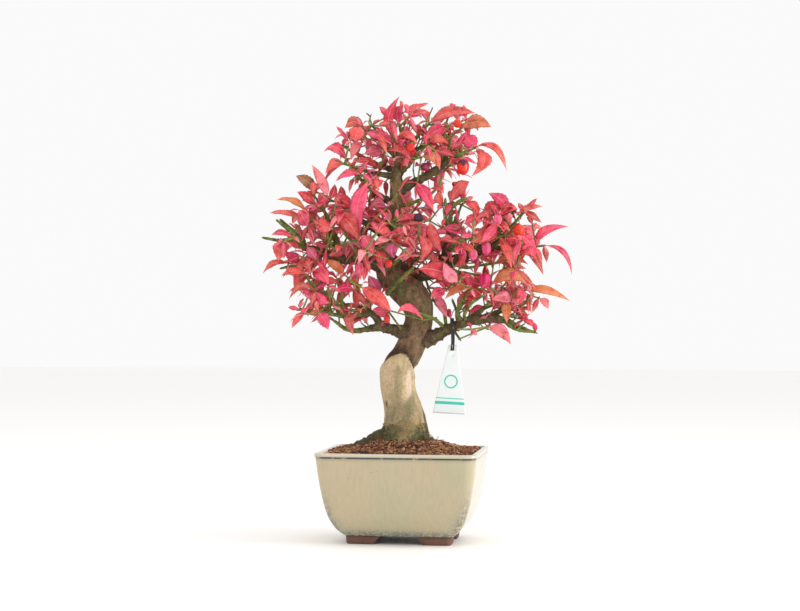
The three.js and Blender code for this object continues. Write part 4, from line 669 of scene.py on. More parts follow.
def growTree():
    leafy = [name for name in branches if name not in growth["bareEnds"]]
    sprays = [branchSpray(name, branches[name]) for name in leafy]
    for name, count in sideSprays.items():
        for i in range(count):
            turn = growth["sideTurn"] * (i + 1) + count
            share = (i + 0.6) / (count + 0.2)
            sprays.append(sideSpray(name + "Side" + str(i + 1), branches[name], share, turn))
    for course in shownTwigs:
        points = np.array(course, float)
        room = firstRoom(sprays, points[0], unit(points[1] - points[0]), points[-1])
        if room:
            move, face, spray = room
            spray["twigs"].append(np.concatenate([[face.mean(0)], points + move]))
            takeFace(spray, face)
    for base, middle, tip, width, turned, colour in shownLeaves:
        places = np.array([base, middle, tip], float)
        room = firstRoom(sprays, places[0], unit(places[1] - places[0]), places[2])
        if room:
            move, face, spray = room
            leaf = dict(zip(("base", "middle", "tip"), places + move))
            turn = math.radians(turned)
            normal = np.array([0, -math.cos(turn), math.sin(turn)])
            addLeaf(spray, face, {**leaf, "width": width, "normal": normal, "colour": colour, "shown": True})
    for number, (place, (half, tall)) in enumerate(fruits):
        centre = np.array(place, float)
        top = centre + upward * tall
        room = firstRoom(sprays, top, -upward, np.array([top, centre - upward * tall]))
        if room:
            move, face, spray = room
            fruit = {"number": number, "centre": centre + move, "half": half, "tall": tall}
            spray["fruit"].append({**fruit, "course": [face.mean(0), top + move, centre + move]})
            takeFace(spray, face)
    for index, spray in enumerate(sprays):
        draw = drawsFrom(growth["twigSeed"] + index)
        faces = spray["open"][-5:]
        isFar = spray["start"][1] > growth["crownMiddle"]
        for k in range(3 if isFar else 2):
            rule = growth["twig"]
            length, lean = drawn(rule["length"], draw), rule["lean"] * next(draw)
            turn = (4, 0, 2, 1, 3)[k]
            if turn >= len(faces) or not any(faces[turn] is other for other in spray["open"]):
                continue
            face = faces[turn]
            way = unit(facing(face) + spray["along"] * lean + upward * rule["rise"])
            ends = [face.mean(0) + way * reach for reach in (length - growth["nodeLength"], length)]
            rings = followRings(face, [(end, growth["tipRadius"]) for end in ends])
            if isPacked(spray, rings[-1][0]):
                addStalk(spray, face, rings, "twig")
    for index, spray in enumerate(sprays):
        draw = drawsFrom(growth["leafSeed"] + index)
        for face in list(spray["open"]):
            rule = growth["leaf"]
            length = drawn(rule["length"], draw)
            droop = length * drawn(rule["droop"], draw)
            normal = np.array([next(draw) - 0.5, next(draw) - 0.8, 0.75])
            width = length * drawn(rule["slimness"], draw)
            colour = growth["rowColours"][int(next(draw) * 8)]
            way = unit(facing(face) + spray["along"] * rule["lean"] + upward * rule["rise"])
            base = face.mean(0)
            tip = base + way * length * 0.95 - upward * droop
            if isPacked(spray, tip):
                leaf = {"base": base, "middle": base + way * length * 0.52, "tip": tip}
                leaf.update(width=width, normal=unit(normal), colour=colour, shown=False)
                addLeaf(spray, face, leaf)
    return sprays


sprays = growTree()
counts = {key: sum(len(spray[key]) for spray in sprays) for key in ("leaves", "twigs", "fruit", "stalks")}
print("grown", len(sprays), counts)


# Leaves

leafShape = {
    # width of the blade along its length, from the stalk to the drawn-out tip
    "width": [(0, 0.1), (0.05, 0.11), (0.09, 0.25), (0.15, 0.54), (0.22, 0.76), (0.34, 0.95), (0.48, 1),
              (0.62, 0.88), (0.76, 0.63), (0.87, 0.36), (0.95, 0.14), (1, 0.02)],
    "fold": 0.28, "thickness": 0.26, "seatDepth": 0.5,
    "lowest": 159,  # leaves of the scene hang no lower
    "bendClear": (9, 20, 192),  # the trunk's bend is kept clear: its middle, half width and top
    "tagClear": (37, 9, 172),
}
leafColours = {
    "crimson": "#c22c48", "magenta": "#da3264", "pink": "#e4446a", "bright": "#f04a74", "coral": "#df5250",
    "pale": "#ee8290", "red": "#c93340", "brick": "#b84a42", "orange": "#c4703f", "olive": "#8f7044",
    "violet": "#b23e66",
}


def leafSurface(leaf, seed):
    # centre(t) is a parabola through base, middle and tip. Across it, at s from -1 to 1, the blade is
    # folded up by fold * |s| and its rim is bent back a little; the underside follows below.
    rng = np.random.default_rng(seed)
    length = np.linalg.norm(leaf["tip"] - leaf["base"])
    across, rows = (12, 30) if length > 24 and leaf["shown"] else (12, 16) if leaf["shown"] else (8, 10)
    share = np.linspace(0, 1, rows) ** 0.93
    base = leaf["base"] - leaf["out"] * leafShape["seatDepth"]
    control = 2 * leaf["middle"] - 0.5 * base - 0.5 * leaf["tip"]
    t = share[:, None]
    centres = base * (1 - t) ** 2 + control * 2 * t * (1 - t) + leaf["tip"] * t**2
    along = unit(np.gradient(centres, axis=0))
    chord = leaf["tip"] - base
    side = unit(np.cross(chord, leaf["normal"]))
    above = unit(np.cross(side, along))
    half = leaf["width"] / 2 * np.interp(share, *zip(*leafShape["width"]))
    # the rim is saw-toothed, in every second row
    teeth = 0.05 if across == 12 else 0.03
    toothed = smoothStep(0.12, 0.25, share) * smoothStep(1.0, 0.85, share)
    half = half * (1 + teeth * toothed * np.where(np.arange(rows) % 2, 1, -1))
    top = across // 2 + 1
    s = np.concatenate([np.linspace(-1, 1, top), np.linspace(1, -1, top)[1:-1]])
    under = np.concatenate([np.zeros(top), np.ones(across - top)])
    body = np.sqrt(np.clip(1 - s**2, 0, 1))
    thick = np.interp(share, [0, 0.06, 0.14, 1], [1.1, 0.9, leafShape["thickness"], 0.14])
    wave = rng.uniform(-1, 1, 4)
    ripple = 0.06 * leaf["width"] * np.sin(share[:, None] * 14 + s * 1.7 + wave[0] * 3) * s**2 * wave[1]
    curl = (leafShape["fold"] * np.abs(s) - (0.1 + 0.16 * wave[2] ** 2) * s**4) * half[:, None]
    lift = curl + ripple * toothed[:, None] + thick[:, None] * body * (0.5 - under)
    rings = centres[:, None] + (half[:, None] * s)[..., None] * side + lift[..., None] * above[:, None]
    # each leaf has its own tint, and turns paler or browner towards its tip or rim
    tint = np.array(toLinear(leafColours[leaf["colour"]])) * rng.uniform(0.82, 1.18)
    tint = tint * rng.uniform(0.92, 1.08, 3)
    number = rng.random()
    place = np.stack(np.broadcast_arrays(s, share[:, None], number), -1)
    scale = np.stack(np.broadcast_arrays(half[:, None], length, under), -1)
    return ringSurface(rings[:, ::-1], tint=tint[None, None], place=place[:, ::-1], scale=scale[:, ::-1])


def smallLeaf(rng, base, way, length):
    # A leaf like its larger neighbours, from a bud, held a little up and drooping at its tip
    colour = growth["rowColours"][rng.integers(8)]
    way = unit(way + rng.normal(0, 0.25, 3))
    tip = base + way * length * 0.93 - upward * length * rng.uniform(0, 0.45)
    normal = unit(rng.normal(0, 0.4, 3) + [0, -0.45, 0.8])
    return {"base": base, "middle": base + way * length * 0.5, "tip": tip, "out": way, "shown": False,
            "width": length * rng.uniform(0.32, 0.46), "normal": normal, "colour": colour}


def hangsFree(leaf):
    # Nothing hangs below the crown, in front of the trunk's bend or over the tag.
    x, y, z = leaf["tip"]
    bend, bendHalf, bendTop = leafShape["bendClear"]
    label, labelHalf, labelTop = leafShape["tagClear"]
    beforeBend = abs(x - bend) < bendHalf and y < 6 and z < bendTop
    return z > leafShape["lowest"] and not beforeBend and not (abs(x - label) < labelHalf and z < labelTop)


def leafLook(tree):
    # A thin waxy blade: its own autumn tint, mottled and a little burnt at the rim, with a pale midrib,
    # side veins that run forward, and a matt, paler underside. Light comes through it.
    tint = addNode(tree, "Attribute", {"attribute_name": "tint"}, "Vector")
    place = addNode(tree, "Attribute", {"attribute_name": "place"}, "Vector")
    aside, onward, number = addNode(tree, "SeparateXYZ", None, slice(3), Vector=place)
    scale = addNode(tree, "Attribute", {"attribute_name": "scale"}, "Vector")
    halfWidth, length, under = addNode(tree, "SeparateXYZ", None, slice(3), Vector=scale)
    fromRib = addNode(tree, "Math", unsigned, Value=aside)
    fromRibMm = addNode(tree, "Math", times, Value0=fromRib, Value1=halfWidth)
    ribDepth = addNode(tree, "MapRange", Value=fromRibMm, From_Min=0.42, From_Max=0.14, To_Max=-1.0)
    rib = addNode(tree, "MapRange", Value=fromRibMm, From_Min=0.42, From_Max=0.14, To_Max=0.5)
    # side veins every 2.6 mm, leaving the midrib at about 45 degrees
    forward = addNode(tree, "Math", times, Value0=onward, Value1=length)
    forward = addNode(tree, "Math", minus, Value0=forward, Value1=fromRibMm)
    between = addNode(tree, "Math", {"operation": "PINGPONG"}, Value0=forward, Value1=1.3)
    veins = addNode(tree, "MapRange", Value=between, From_Min=0.962, From_Max=1.3)
    fading = addNode(tree, "MapRange", Value=fromRib, From_Min=0.7, From_Max=1.0, To_Min=1.0, To_Max=0.2)
    veins = addNode(tree, "Math", times, Value0=veins, Value1=fading)
    veinShare = addNode(tree, "Math", times, Value0=veins, Value1=0.22)
    # mottled in patches of 5 mm, with a burnt edge broken up by 1 mm
    seated = addNode(tree, "TexCoord", None, "Object")
    mottle = addNode(tree, "TexNoise", Vector=seated, Scale=210.0, Detail=4.0)
    fine = addNode(tree, "TexNoise", Vector=seated, Scale=1100.0, Detail=2.0)
    light = addNode(tree, "MapRange", Value=mottle, From_Min=0.52, From_Max=0.75, To_Max=0.5)
    dark = addNode(tree, "MapRange", Value=mottle, From_Min=0.48, From_Max=0.3, To_Max=0.75)
    rim = addNode(tree, "MapRange", Value=fromRib, From_Min=0.72, From_Max=1.0)
    crisp = addNode(tree, "MapRange", Value=fine, From_Min=0.45, From_Max=0.62, To_Max=0.45)
    burnt = addNode(tree, "Math", times, Value0=rim, Value1=crisp)
    stalk = addNode(tree, "MapRange", Value=onward, From_Min=0.14, From_Max=0.04, To_Max=0.5)
    underShare = addNode(tree, "Math", times, Value0=under, Value1=0.2)
    pale = addNode(tree, "Mix", colourMix, Factor=0.42, A=tint, B="#ffc2b8")
    # some leaves turn orange towards their tips
    atTip = addNode(tree, "MapRange", Value=onward, From_Min=0.2, From_Max=1.0)
    some = addNode(tree, "MapRange", Value=number, From_Min=0.5, From_Max=0.95, To_Max=0.6)
    turned = addNode(tree, "Math", times, Value0=atTip, Value1=some)
    colour = addNode(tree, "Mix", colourMix, Factor=turned, A=tint, B="#d86a38")
    deep = addNode(tree, "Mix", multiply, Factor=1.0, A=colour, B="#a0404c")
    layers = [
        (light, pale), (dark, deep), (burnt, "#8a3a28"), (stalk, "#b8a060"), (veinShare, pale),
        (rib, "#f2988e"), (underShare, "#e49a98"),
    ]
    for share, layer in layers:
        colour = addNode(tree, "Mix", colourMix, Factor=share, A=colour, B=layer)
    rough = addNode(tree, "MapRange", Value=under, To_Min=0.4, To_Max=0.62)
    # the midrib and the veins are sunk in the blade
    raised = addNode(tree, "Math", minus, Value0=fine, Value1=veins)
    raised = addNode(tree, "Math", {"operation": "MULTIPLY_ADD"}, Value0=raised, Value1=0.5, Value2=ribDepth)
    bump = addNode(tree, "Bump", Height=raised, Strength=0.5, Distance=0.0002)
    return {"Base_Color": colour, "Roughness": rough, "Normal": bump}


leafMaterial = newMaterial(
    "waxy autumn leaf", leafLook, IOR=1.45, Subsurface_Weight=0.3, Subsurface_Radius=(0.6, 0.25, 0.2),
    Subsurface_Scale=0.0015,
)

# Shoots: this year's twigs, with buds in pairs at their joints and a bud at each bare end

shoots = {"root": (0.95, 0.8), "twig": (0.78, 0.62), "leaf": (0.62, 0.5), "shown": (0.62, 0.42), "sink": 0.9}


def limbSurface(course, sides, knots, seed, tip=0.0, tint=None):
    # A tube along the course: radius(s) = its course's radius * (1 + 0.3 exp(-((s - knot) / 0.7)^2)),
    # rounded off at the end and rough by a lattice noise of 1.5 mm
    centres, radii = course[:, :3], course[:, 3].copy()
    lengths = np.concatenate([[0], np.cumsum(np.linalg.norm(np.diff(centres, axis=0), axis=1))])
    for knot in knots:
        radii *= 1 + 0.3 * np.exp(-(((lengths - knot) / 0.7) ** 2))
    if tip:
        fromEnd = (lengths[-1] - lengths) / tip
        radii *= np.sqrt(np.clip(1 - np.clip(1 - fromEnd, 0, 1) ** 2, 0.02, 1))
    rings = tubeRings(centres, radii[:, None] * np.ones(sides), sides)
    rough = latticeNoise(rings, 1.5, seed)
    rings += 0.1 * (rough * radii[:, None])[..., None] * unit(rings - centres[:, None])
    marks = {} if tint is None else {"tint": tint}
    return ringSurface(rings, **marks)


def budSurface(start, way, length, radius, tint):
    # A bud on an axis: radius(t) = radius * sin(pi t^0.7), six corners round
    t = np.linspace(0.02, 0.98, 6)
    centres = start + way * (length * t)[:, None]
    return ringSurface(tubeRings(centres, radius * np.sin(math.pi * t**0.7), 6), tint=tint)


greenTwig, darkKnot, budBrown = (np.array(toLinear(c)) for c in ("#7d8c38", "#4a3a2a", "#6b4630"))


def stalkCourse(points, low, high, step=0.8):
    points = np.array(points, float)
    points[0] -= unit(points[1] - points[0]) * shoots["sink"]
    radii = np.linspace(low, high, len(points))[:, None]
    return smoothCourse(np.concatenate([points, radii], 1), step)


def shootSurfaces(spray, seed):
    rng = np.random.default_rng(seed)
    made = []
    for stalk in spray["stalks"]:
        low, high = shoots[stalk["kind"]]
        course = stalkCourse(stalk["course"], low, high)
        length = np.linalg.norm(np.diff(course[:, :3], axis=0), axis=1).sum()
        tint = greenTwig * rng.uniform(0.75, 1.2) * (1 - 0.35 * (stalk["kind"] == "root"))
        along = np.linspace(0, 1, len(course))[:, None, None]
        knot = np.exp(-(((1 - along) * length - 0.9) ** 2) / 0.5)
        tint = tint * (1 - 0.5 * knot) + darkKnot * 0.4 * knot
        made.append(limbSurface(course, 8, [length - 0.9], seed, 0.5, tint))
    for course in spray["twigs"]:
        smooth = stalkCourse(course, *shoots["shown"])
        length = np.linalg.norm(np.diff(smooth[:, :3], axis=0), axis=1).sum()
        tint = greenTwig * rng.uniform(0.8, 1.25)
        along = np.linspace(0, 1, len(smooth))[:, None, None]
        dark = smoothStep(0.72, 0.95, along)
        knots = list(np.arange(3, length - 2, rng.uniform(4.5, 6.5)))
        made.append(limbSurface(smooth, 8, knots, seed, 1.2, tint * (1 - dark) + darkKnot * dark))
    for face in spray["open"]:
        way = facing(face)
        middle = face.mean(0) - way * 0.45
        if way @ spray["along"] > 0.8 or rng.random() < 0.45:
            leaning = unit(way + spray["along"] * 0.3)
            made.append(budSurface(middle, leaning, rng.uniform(1.6, 2.4), 0.5, budBrown))
    for fruit in spray["fruit"]:
        course = stalkCourse(fruit["course"][:2], 0.45, 0.35)
        made.append(limbSurface(course, 8, [], seed, 0, greenTwig * 1.2))
    return made


def twigLook(tree):
    # Young bark: waxy green to brown with pale pores, each part in its own tint
    place = addNode(tree, "TexCoord", None, "Object")
    tint = addNode(tree, "Attribute", {"attribute_name": "tint"}, "Vector")
    cloud = addNode(tree, "TexNoise", Vector=place, Scale=420.0, Detail=3.0)
    shade = addNode(tree, "MapRange", Value=cloud, From_Min=0.35, From_Max=0.65, To_Max=0.55)
    colour = addNode(tree, "Mix", multiply, Factor=shade, A=tint, B="#80684c")
    cells = addNode(tree, "TexVoronoi", Vector=place, Scale=700.0)
    pores = addNode(tree, "MapRange", Value=cells, From_Min=0.1, From_Max=0.22, To_Min=0.5, To_Max=0.0)
    colour = addNode(tree, "Mix", colourMix, Factor=pores, A=colour, B="#b8a888")
    bump = addNode(tree, "Bump", Height=cloud, Strength=0.5, Distance=0.0003)
    return {"Base_Color": colour, "Normal": bump}


twigMaterial = newMaterial("waxy green bark of young twigs", twigLook, Roughness=0.5, IOR=1.45)

# Fruit: seeds in glossy orange-red arils and four-lobed capsules in pink and magenta

fruitKinds = {
    0: {"colour": "#e8301c", "cap": "#5a1f3a", "lobes": 0.05, "gloss": 0.16},
    1: {"colour": "#d8281e", "lobes": 0.06, "gloss": 0.2},
    2: {"colour": "#e03a1c", "lobes": 0.08, "gloss": 0.2},
    3: {"colour": "#e63c1a", "lobes": 0.08, "gloss": 0.18},
    4: {"colour": "#d42820", "lobes": 0.04, "gloss": 0.2},
    5: {"colour": "#cc2a22", "lobes": 0.05, "gloss": 0.22},
    6: {"colour": "#d2246a", "lobes": 0.2, "gloss": 0.38},
    7: {"colour": "#c8286c", "lobes": 0.12, "gloss": 0.38},
    8: {"colour": "#e8628e", "lobes": 0.18, "gloss": 0.42},
    9: {"colour": "#e25886", "lobes": 0.18, "gloss": 0.42},
    10: {"colour": "#a82e5c", "lobes": 0.16, "gloss": 0.3},
    11: {"colour": "#43222e", "lobes": 0.14, "gloss": 0.6},
    12: {"colour": "#ea6a90", "lobes": 0.18, "gloss": 0.42},
}


def fruitSurfaces(fruit):
    # radius = 1 - 1.6 lobes * sin^2(2a) * sin(polar)^1.5, with a dimple at the stalk; a cap covers the
    # upper third of an aril with a rim cut in four
    kind = fruitKinds[fruit["number"]]
    polar = np.linspace(0.06, math.pi - 0.06, 22)[:, None]
    angle = (np.arange(32) * math.pi / 16)[None]
    size = np.array([fruit["half"], fruit["half"], fruit["tall"]])

    def ball(scale, end):
        p = polar * end / math.pi
        lobed = 1 - kind["lobes"] * 1.6 * np.sin(2 * angle + fruit["number"]) ** 2 * np.sin(p) ** 1.5
        lobed = lobed * (1 - 0.12 * np.exp(-((p / 0.3) ** 2))) * scale
        parts = np.broadcast_arrays(np.sin(p) * np.cos(angle), np.sin(p) * np.sin(angle), np.cos(p))
        direction = np.stack(parts, -1)
        rough = 0.04 if fruit["number"] == 11 else 0.008
        noise = latticeNoise(direction, 0.35, fruit["number"])
        return fruit["centre"] + direction * size * (lobed * (1 + rough * noise))[..., None]

    tint = np.array(toLinear(kind["colour"]))
    gloss = [[[kind["gloss"]]]]
    made = [ringSurface(ball(0.95, math.pi)[:, ::-1], tint=tint, gloss=gloss)]
    if "cap" in kind:
        rim = 1.25 + 0.28 * np.cos(4 * angle)
        outer = ball(1.0, rim)
        inner = ball(0.9, rim)[::-1]
        cap = np.concatenate([outer, inner])[:, ::-1]
        made.append(ringSurface(cap, tint=np.array(toLinear(kind["cap"])), gloss=[[[0.45]]]))
    return made


def fruitLook(tree):
    # A taut skin, wet-looking on the arils and satin on the capsules, a little translucent
    place = addNode(tree, "TexCoord", None, "Object")
    tint = addNode(tree, "Attribute", {"attribute_name": "tint"}, "Vector")
    gloss = addNode(tree, "Attribute", {"attribute_name": "gloss"}, "Fac")
    cloud = addNode(tree, "TexNoise", Vector=place, Scale=330.0, Detail=3.0)
    shade = addNode(tree, "MapRange", Value=cloud, From_Min=0.4, From_Max=0.7, To_Max=0.5)
    colour = addNode(tree, "Mix", multiply, Factor=shade, A=tint, B="#c08070")
    bump = addNode(tree, "Bump", Height=cloud, Strength=0.25, Distance=0.0003)
    return {"Base_Color": colour, "Roughness": gloss, "Normal": bump}


fruitMaterial = newMaterial(
    "glossy fruit skin", fruitLook, IOR=1.45, Subsurface_Weight=0.25, Subsurface_Radius=(1.0, 0.25, 0.15),
    Subsurface_Scale=0.002,
)

for index, spray in enumerate(sprays):
    name, slot = spray["name"], slotOfNode[spray["name"]]
    rng = np.random.default_rng(700 + index)
    for face in spray["open"]:
        leaf = smallLeaf(rng, face.mean(0), facing(face), rng.uniform(8, 15))
        if rng.random() < 0.7 and hangsFree(leaf):
            spray["leaves"].append(leaf)
    leaves = [leafSurface(leaf, 100 * index + k) for k, leaf in enumerate(spray["leaves"])]
    if leaves:
        putPiece(name + "_leaves", joinSurfaces(leaves), leafMaterial, [name])
    putPiece(name + "_shoots", joinSurfaces(shootSurfaces(spray, index)), twigMaterial, [name])
    berries = [surface for fruit in spray["fruit"] for surface in fruitSurfaces(fruit)]
    if berries:
        putPiece(name + "_fruit", joinSurfaces(berries), fruitMaterial, [name])


# Pot: stoneware, pressed in a mould and dipped in a celadon glaze, with bare feet

pot = {
    "width": 120, "depth": 95, "height": 68,
    "corner": 8,  # radius of the corners at the rim
    # how far the wall stands in from the rim at each height
    "outside": [
        (6.3, 19.4), (7.9, 17.4), (11.6, 13.8), (17, 10.5), (23.5, 7.8), (35, 5), (48, 2.7), (62, 1),
        (64.6, 0.75),
    ],
    "lip": [
        (65.1, 0.45), (65.6, 0.08), (66.5, 0), (67.3, 0.12), (67.8, 0.55), (68, 1.3), (67.95, 3.4),
        (67.5, 4.6),
    ],
    "inside": [
        (66, 5.3), (60, 5.9), (48, 7.3), (35, 9.6), (23.5, 12.4), (17, 15.1), (13, 18.8), (11.5, 23),
    ],
    "drainRadius": 6, "drainSpacing": 44,
    "footInset": 20.4, "footBand": 8, "footTop": 7.4, "footCorner": 4,
    "frontArch": (26.6, 37.7), "sideArch": (18, 26), "archTop": 6.3,
    "glazeWave": 0.12,  # how much the dipped glaze swells and thins
}


def roundedRectangle(halfX, halfY, corner, alongSide=20, alongCorner=12):
    # The rectangle's sides as evenly spaced points and its corners as arcs of the given radius,
    # anticlockwise from the middle of the right side
    quarter = np.linspace(0, math.pi / 2, alongCorner)
    arcs = np.stack([np.cos(quarter), np.sin(quarter)], -1) * corner
    turns = [np.array([[c, s], [-s, c]]) for c, s in ((1, 0), (0, 1), (-1, 0), (0, -1))]
    middles = np.array([[1, 1], [-1, 1], [-1, -1], [1, -1]]) * [halfX - corner, halfY - corner]
    corners = [arcs @ turn + middle for turn, middle in zip(turns, middles)]
    share = np.linspace(0, 1, alongSide + 2)[1:-1, None]
    sides = [corners[k - 1][-1] * (1 - share) + corners[k][0] * share for k in range(4)]
    return np.concatenate([np.concatenate([sides[k], corners[k]]) for k in range(4)])


def potRing(z, inset, corner=None):
    corner = max(pot["corner"] - inset / 6, 1.5) if corner is None else corner
    flat = roundedRectangle(pot["width"] / 2 - inset, pot["depth"] / 2 - inset, corner)
    return np.concatenate([flat, np.full((len(flat), 1), z)], 1)


def finer(profile, count):
    # The profile's points joined by a smooth curve, with count stations
    course = smoothCourse([(*p, 0) for p in profile], 0.1)
    return course[np.linspace(0, len(course) - 1, count).astype(int), :2]


def potBody():
    # The profile goes out under the floor, up the outside, over the lip and down to the floor's middle.
    under = [(6.3, inset) for inset in (44, 36, 28, 22)]
    outside, lip, inside = finer(pot["outside"], 44), finer(pot["lip"], 18), finer(pot["inside"], 20)
    floor = [(11.5, inset) for inset in (28, 34, 40)]
    profile = np.concatenate([under, outside, lip, inside, floor])
    outer = len(under) + 58  # from here on the corners follow the inner wall
    corners = [None] * outer + [max(pot["corner"] - 3 - inset / 8, 1.5) for _, inset in profile[outer:]]
    rings = np.array([potRing(z, inset, corner) for (z, inset), corner in zip(profile, corners)])
    outward = unit(rings * [1, 1, 0])
    wave = latticeNoise(rings, 14, 3) + 0.5 * latticeNoise(rings * [1, 1, 0.3], 5, 4)
    rings = rings + outward * (pot["glazeWave"] * wave)[..., None]
    return ringSurface(rings)


def glazeMarks(points):
    # Where the glaze pools (low on the outside and at its edges), where painted shade darkens a line
    # under the lip's overhang and the glaze breaks on the rim's corners, and where the wall is bare inside
    x, y, z = np.abs(points[:, 0]), np.abs(points[:, 1]), points[:, 2]
    heights, insets = zip(*pot["outside"], *pot["lip"][:3])
    inset = np.interp(z, heights, insets)
    awayX, awayY = pot["width"] / 2 - inset - x, pot["depth"] / 2 - inset - y
    radius = pot["corner"] - inset / 6
    overX, overY = radius - awayX, radius - awayY
    reach = np.hypot(np.maximum(overX, 0), np.maximum(overY, 0))
    reach = reach + np.minimum(np.maximum(overX, overY), 0)
    outside = smoothStep(2.4, 1.6, radius - reach)
    edge = smoothStep(9, 1.5, awayX) * smoothStep(9, 1.5, awayY)
    pool = np.maximum(smoothStep(13, 7, z), edge * smoothStep(50, 16, z)) * outside
    # painted shade: a dark line under the lip's overhang
    underLipShade = np.exp(-(((z - 64.8) / 0.8) ** 4)) * outside
    lipEdge = 0.7 * np.exp(-(((z - 67.85) / 0.25) ** 2)) * edge
    return np.stack([pool, np.maximum(underLipShade, lipEdge), (1 - outside) * smoothStep(67.5, 66.2, z)], -1)


def cutDrains(piece):
    # The two drain holes go through the floor.
    for side in (-1, 1):
        angle = np.linspace(0, 2 * math.pi, 33)[:-1]
        flat = np.stack([np.cos(angle), np.sin(angle), 0 * angle], -1) * pot["drainRadius"]
        place = [side * pot["drainSpacing"] / 2, 0, 0]
        rings = np.array([flat + place + [0, 0, z] for z in (4, 14)])
        cutter = putPiece("drain_cutter", ringSurface(rings), glazeMaterial, (), True)
        cut = piece.modifiers.new("drain", "BOOLEAN")
        cut.operation = "DIFFERENCE"
        cut.object = cutter
        bpy.context.view_layer.update()
        finished = piece.evaluated_get(bpy.context.evaluated_depsgraph_get())
        made = bpy.data.meshes.new_from_object(finished)
        piece.modifiers.clear()
        piece.data = made
        bpy.data.objects.remove(cutter)
    made.attributes.new("glaze", "FLOAT_VECTOR", "POINT")
    place = np.empty(len(made.vertices) * 3)
    made.vertices.foreach_get("co", place)
    marks = glazeMarks(place.reshape(-1, 3) * 1000 - potCentre)
    made.attributes["glaze"].data.foreach_set("vector", marks.astype(np.float32).ravel())


def potFeet():
    # Each foot is a bar bent round its corner of the pot: a section with rounded lower edges carried
    # along an L, whose ends lean as the arches do.
    band = pot["footBand"]
    top = pot["footTop"]
    outerEdge = [[0, top], [0.5, 1.2], [0.9, 0.35], [1.6, 0]]
    section = [*outerEdge, [band - 1.2, 0], [band - 0.5, 0.4], [band - 0.2, 1.2], [band, top]]
    halfX, halfY = pot["width"] / 2 - pot["footInset"], pot["depth"] / 2 - pot["footInset"]
    (frontTop, frontLow), (sideTop, sideLow) = pot["frontArch"], pot["sideArch"]
    outer = pot["footCorner"]
    surfaces = []
    for signX, signY in ((1, 1), (-1, 1), (-1, -1), (1, -1)):
        rings = []
        share = np.linspace(0, 1, 5)
        for inward, z in section:
            # the course of this line of the section: along the front, round the corner, along the side
            radius = max(outer - inward, 0.6)
            below = 1 - z / pot["archTop"]
            startX = (frontTop + (frontLow - frontTop) * below) / 2
            startY = (sideTop + (sideLow - sideTop) * below) / 2
            x1, y1 = halfX - inward, halfY - inward
            quarter = np.linspace(math.pi / 2, 0, 9)
            arc = np.stack([np.cos(quarter), np.sin(quarter)], -1) * radius + [x1 - radius, y1 - radius]
            front = np.stack([startX + (arc[0, 0] - startX) * share, np.full(5, y1)], -1)[:-1]
            side = np.stack([np.full(5, x1), arc[-1, 1] + (startY - arc[-1, 1]) * share], -1)[1:]
            line = np.concatenate([front, arc, side]) * [signX, signY]
            rings.append(np.concatenate([line, np.full((len(line), 1), z)], 1))
        rings = np.array(rings).transpose(1, 0, 2)
        if signX * signY > 0:
            rings = rings[:, ::-1]
        rings = rings + 0.12 * latticeNoise(rings, 3, 8)[..., None] * [1, 1, 0]
        surfaces.append(ringSurface(rings))
    return joinSurfaces(surfaces)


